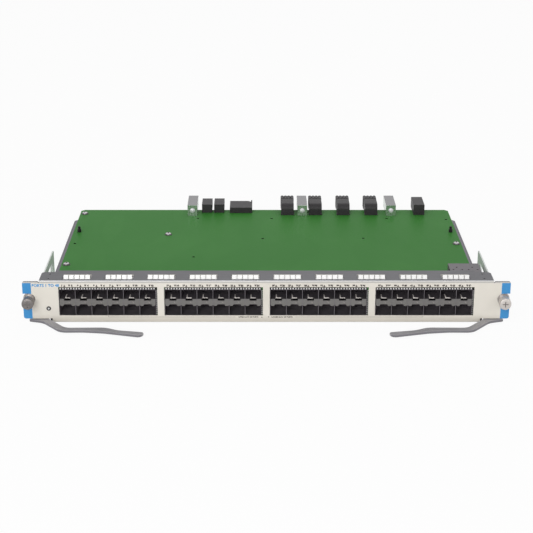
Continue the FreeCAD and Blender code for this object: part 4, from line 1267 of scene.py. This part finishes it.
@dataclass
class HandHardware(Assembly):
    """Ejector levers and captive thumb screws."""

    NODES = {f"{side}_screw_{part}": finish for side in SIDES
             for part, finish in (("ring", Finish.BRIGHT), ("spring", Finish.SPRING))}

    knob_length: float = 7.8 * MM
    knob_radius: float = 5.35 * MM
    knob_wall: float = 2.0 * MM
    pocket_radius: float = 4.2 * MM
    flutes: int = 36
    flute_depth: float = 0.3 * MM
    shank_radius: float = 1.5 * MM
    thread_radius: float = 2.0 * MM
    thread_length: float = 6.0 * MM
    thread_pitch: float = 0.7 * MM
    recess_span: float = 2.7 * MM
    recess_width: float = 0.45 * MM
    recess_depth: float = 1.3 * MM
    nose_radius: float = 3.9 * MM
    nose_length: float = 4.8 * MM
    sleeve_flange: float = 5.8 * MM
    sleeve_depth: float = 2.7 * MM
    panel_sheet: float = 1.5 * MM
    notch_radius: float = 5.3 * MM
    running_gap: float = 0.07 * MM

    def build(self) -> None:
        """Builds the rounded levers, the fluted knobs and the turned sleeves."""
        for side in SIDES:
            merged_copy(f"{side}_lever", f"{side}_lever_casting", Finish.LEVER, 0.55 * MM, f"{side}_lever")
            self.add_knob(side)
        self.add_sleeves()

    def add_knob(self, side: str) -> None:
        """Turns a fluted knob with a cross recess, its shank and its thread."""
        low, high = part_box(f"{side}_thumb_screw")
        centre = middle_at(f"{side}_thumb_screw")
        r, length, pocket = self.knob_radius, self.knob_length, self.pocket_radius
        profile = [(0.8 * r, 0.0), (0.93 * r, 0.25 * MM), (r, 0.9 * MM), (r, length - 0.7 * MM),
                   (0.93 * r, length), (pocket, length), (pocket, self.knob_wall)]
        knob = Mesh()
        circles = knob.turned(profile, 2 * self.flutes, centre, INWARD)
        for i in circles[2][::2] + circles[3][::2]:
            vert = knob.verts[i]
            axis = Vector((centre.x, vert.y, centre.z))
            knob.verts[i] = axis + (vert - axis) * (1 - self.flute_depth / r)
        end = high.y - low.y
        start = end - self.thread_length
        turns = int(self.thread_length / self.thread_pitch)
        crest, root = self.thread_radius, 0.84 * self.thread_radius
        shank = [(self.shank_radius, self.knob_wall - 0.4 * MM), (self.shank_radius, start)]
        for i in range(turns):
            y = start + i * self.thread_pitch
            shank += [(root, y + 0.05 * MM), (crest, y + 0.5 * self.thread_pitch)]
        shank += [(root, end - 0.4 * MM), (0.6 * crest, end)]
        knob.turned(shank, 24, centre, INWARD)
        tool = Mesh()
        tool.prism(cross(self.recess_span, self.recess_width), facing_front(centre), -1.0 * MM,
                   self.recess_depth)
        # the knobs are lit and shaded copies of one nickel: the left one's darker tone is painted shade
        finish = Finish.KNOB if side == "right" else Finish.KNOB_DULL
        piece = carved(knob, tool, f"{side}_knob", finish, f"{side}_screw")
        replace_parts(piece, f"{side}_thumb_screw")
        # painted shade: a dark cross in each knob's recess for the shade inside it
        floor = Mesh()
        floor.prism(cross(0.97 * self.recess_span, 0.94 * self.recess_width),
                    facing_front(centre), 0.35 * self.recess_depth, self.recess_depth)
        floor.piece(f"{side}_knob_recess", Finish.KNOB_RECESS, f"{side}_screw", "knob_metal")

    def add_sleeves(self) -> None:
        """Turns the sleeves that the thumb screws run in."""
        bore, nose, lip = self.shank_radius + self.running_gap, self.nose_radius, 0.3 * MM
        profile = [(bore, -self.nose_length), (nose - lip, -self.nose_length), (nose, lip - self.nose_length),
                   (nose, 0.0), (self.notch_radius, 0.0), (self.notch_radius, self.panel_sheet),
                   (self.sleeve_flange, self.panel_sheet), (self.sleeve_flange, self.sleeve_depth - lip),
                   (self.sleeve_flange - lip, self.sleeve_depth), (bore, self.sleeve_depth)]
        sleeves = Mesh()
        for side in SIDES:
            sleeves.tube(profile, 48, middle_at(f"{side}_thumb_screw", FRONT), INWARD)
        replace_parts(sleeves.piece("turned_sleeves", Finish.SLEEVE, slot="bright_steel"), "screw_sleeves")


@dataclass
class RearConnectors(Assembly):
    """Plugs, sockets and guide blocks along the board's rear edge."""

    slots: int = 4
    pin_rows: int = 6
    pin_pitch: float = 1.3 * MM
    pin: Point = (0.35 * MM, 3.4 * MM, 0.35 * MM)
    pin_height: float = 5.1 * MM
    screw_radius: float = 2.75 * MM
    screw_height: float = 1.8 * MM
    stud_radius: float = 1.5 * MM
    stud_length: float = 7.0 * MM

    def build(self) -> None:
        """Builds the rounded housings, the contact pins and the guide blocks' screws."""
        for i in PLUGS:
            merged_copy(f"backplane_plug_{i}", f"plug_housing_{i}", Finish.PLASTIC, 0.22 * MM)
        for name in ("power_socket_1", "power_socket_2", "supply_connector", "end_connector"):
            merged_copy(name, f"{name}_housing", Finish.PLASTIC, 0.35 * MM)
        for i in GUIDES:
            merged_copy(f"guide_block_{i}", f"guide_body_{i}", Finish.GUIDE, 0.3 * MM)
        self.add_pins()
        self.add_guide_screws()

    def add_pins(self) -> None:
        """Repeats the contact pins in the slots of the plugs' rear ends."""
        w, length, h = self.pin
        shape = Mesh()
        shape.prism(cut_corners(-w / 2, -h / 2, w / 2, h / 2, 0.2 * w),
                    lambda u, v, depth: (u, -depth, v), 0.0, length)
        places = []
        for i in PLUGS:
            low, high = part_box(f"backplane_plug_{i}")
            width = high.x - low.x
            rib = width / self.slots
            middle = BOARD_TOP + self.pin_height
            for k in range(self.slots):
                x = low.x + (k + 0.5) * rib
                places += [(x, high.y - 0.6 * MM, middle + (r - (self.pin_rows - 1) / 2) * self.pin_pitch)
                           for r in range(self.pin_rows)]
        repeated("contact_pins", shape, places, Finish.GOLD, slot="bright_steel")

    def add_guide_screws(self) -> None:
        """Turns the domed screws in the guide blocks' front faces."""
        r, h = self.screw_radius, self.screw_height
        profile = [(0.3 * r, -h), (0.62 * r, -0.9 * h), (0.86 * r, -0.62 * h), (r, -0.2 * h), (r, 0.0),
                   (self.stud_radius, 0.0), (self.stud_radius, self.stud_length)]
        screws = Mesh()
        for i in GUIDES:
            screws.turned(profile, 28, middle_at(f"guide_block_{i}"), INWARD)
        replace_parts(screws.piece("domed_screws", Finish.SCREW, slot="bright_steel"), "guide_screws")


# ------------------------------------------------------------------ studio
@dataclass
class Studio:
    """Pale floor, soft lamps and the camera."""

    camera_place: Point = (-0.00832, -1.16044, 0.48520)    # from the panel's front face
    pitch: float = 20.4
    lens: float = 94.9
    shift: tuple[float, float] = (0.0178, -0.0009)
    floor_half: float = 6.0
    floor_gap: float = 0.0005
    world_level: float = 0.42
    floor_white: float = 0.93
    floor_grey: float = 0.62
    lamps: tuple[tuple[str, Point, float, float], ...] = (     # name, place, size and power
        ("key", (-0.7, -1.7, 1.5), 1.2, 11.0),
        ("fill", (1.2, -1.7, 0.5), 1.2, 4.5),
        ("front", (-0.5, -2.4, 0.6), 1.6, 24.0),
        ("rear", (0.2, 1.3, 1.5), 1.4, 4.0))

    def build(self) -> None:
        """Builds the whole studio."""
        self.lay_floor()
        self.light_world()
        for lamp in self.lamps:
            self.hang_lamp(*lamp)
        self.set_camera()

    def lay_floor(self) -> None:
        """Lays the floor, which the camera and reflections see as white, with the card's shadow on it."""
        half, z = self.floor_half, CAD_BOX[0][2] - self.floor_gap
        mesh = bpy.data.meshes.new("floor")
        mesh.from_pydata([(-half, -half, z), (half, -half, z), (half, half, z), (-half, half, z)], [],
                         [(0, 1, 2, 3)])
        floor = bpy.data.objects.new("floor", mesh)
        bpy.context.scene.collection.objects.link(floor)
        s = Shader("pale_floor")
        rays = s.node("ShaderNodeLightPath")
        white = s.node("ShaderNodeEmission", inputs={"Color": (1.0, 1.0, 1.0, 1.0), "Strength": 1.0})[0]
        seen = rays["Is Camera Ray"].most(rays["Is Glossy Ray"])
        grey = self.floor_grey
        paper = s.mix(seen, (grey, grey, grey, 1.0), (1.0, 1.0, 1.0, 1.0))
        matt = s.node("ShaderNodeBsdfDiffuse", inputs={"Color": paper})[0]
        mixed = s.node("ShaderNodeMixShader", inputs={0: seen * self.floor_white, 1: matt, 2: white})[0]
        s.node("ShaderNodeOutputMaterial", inputs={"Surface": mixed})
        mesh.materials.append(s.material)

    def light_world(self) -> None:
        """Lights everything evenly from a white surround."""
        world = bpy.data.worlds.new("soft_surround")
        world.use_nodes = True
        tree = world.node_tree
        background = tree.nodes["Background"]
        rays = add_node(tree, "ShaderNodeLightPath").outputs
        seen = add_node(tree, "ShaderNodeMath", {"operation": "MAXIMUM"},
                        {0: rays["Is Camera Ray"], 1: rays["Is Glossy Ray"]})
        level = add_node(tree, "ShaderNodeMapRange",
                         inputs={"Value": seen.outputs[0], "To Min": self.world_level})
        tree.links.new(level.outputs[0], background.inputs["Strength"])
        background.inputs["Color"].default_value = (1.0, 1.0, 1.0, 1.0)
        bpy.context.scene.world = world

    def hang_lamp(self, name: str, place: Point, size: float, power: float) -> None:
        """Hangs a square lamp that faces the card."""
        data = bpy.data.lights.new(name, "AREA")
        data.size, data.energy = size, power
        lamp = bpy.data.objects.new(name, data)
        lamp.location = place
        lamp.rotation_euler = (-Vector(place)).to_track_quat("-Z", "Y").to_euler()
        bpy.context.scene.collection.objects.link(lamp)

    def set_camera(self) -> None:
        """Sets the camera in front of and above the card."""
        data = bpy.data.cameras.new("camera")
        data.lens, data.sensor_width = self.lens, 36.0
        data.shift_x, data.shift_y = self.shift
        data.clip_start, data.clip_end = 0.05, 50.0
        camera = bpy.data.objects.new("camera", data)
        camera.location = Vector(self.camera_place) + Vector((0.0, FRONT, 0.0))
        camera.rotation_euler = (math.radians(90.0 - self.pitch), 0.0, 0.0)
        bpy.context.scene.collection.objects.link(camera)
        bpy.context.scene.camera = camera


def main() -> None:
    """Builds and dresses the card, then its studio."""
    logging.basicConfig(level=logging.INFO, format="%(name)s: %(message)s")
    for part in (FrontPanel(), ModuleCages(), BoardAndTray(), HandHardware(), RearConnectors()):
        part.build()
        part.dress()
        LOG.info("%s built and dressed", type(part).__name__)
    Studio().build()
    view = bpy.context.scene.view_settings
    view.view_transform = "Standard"


if __name__ == "__main__":
    main()
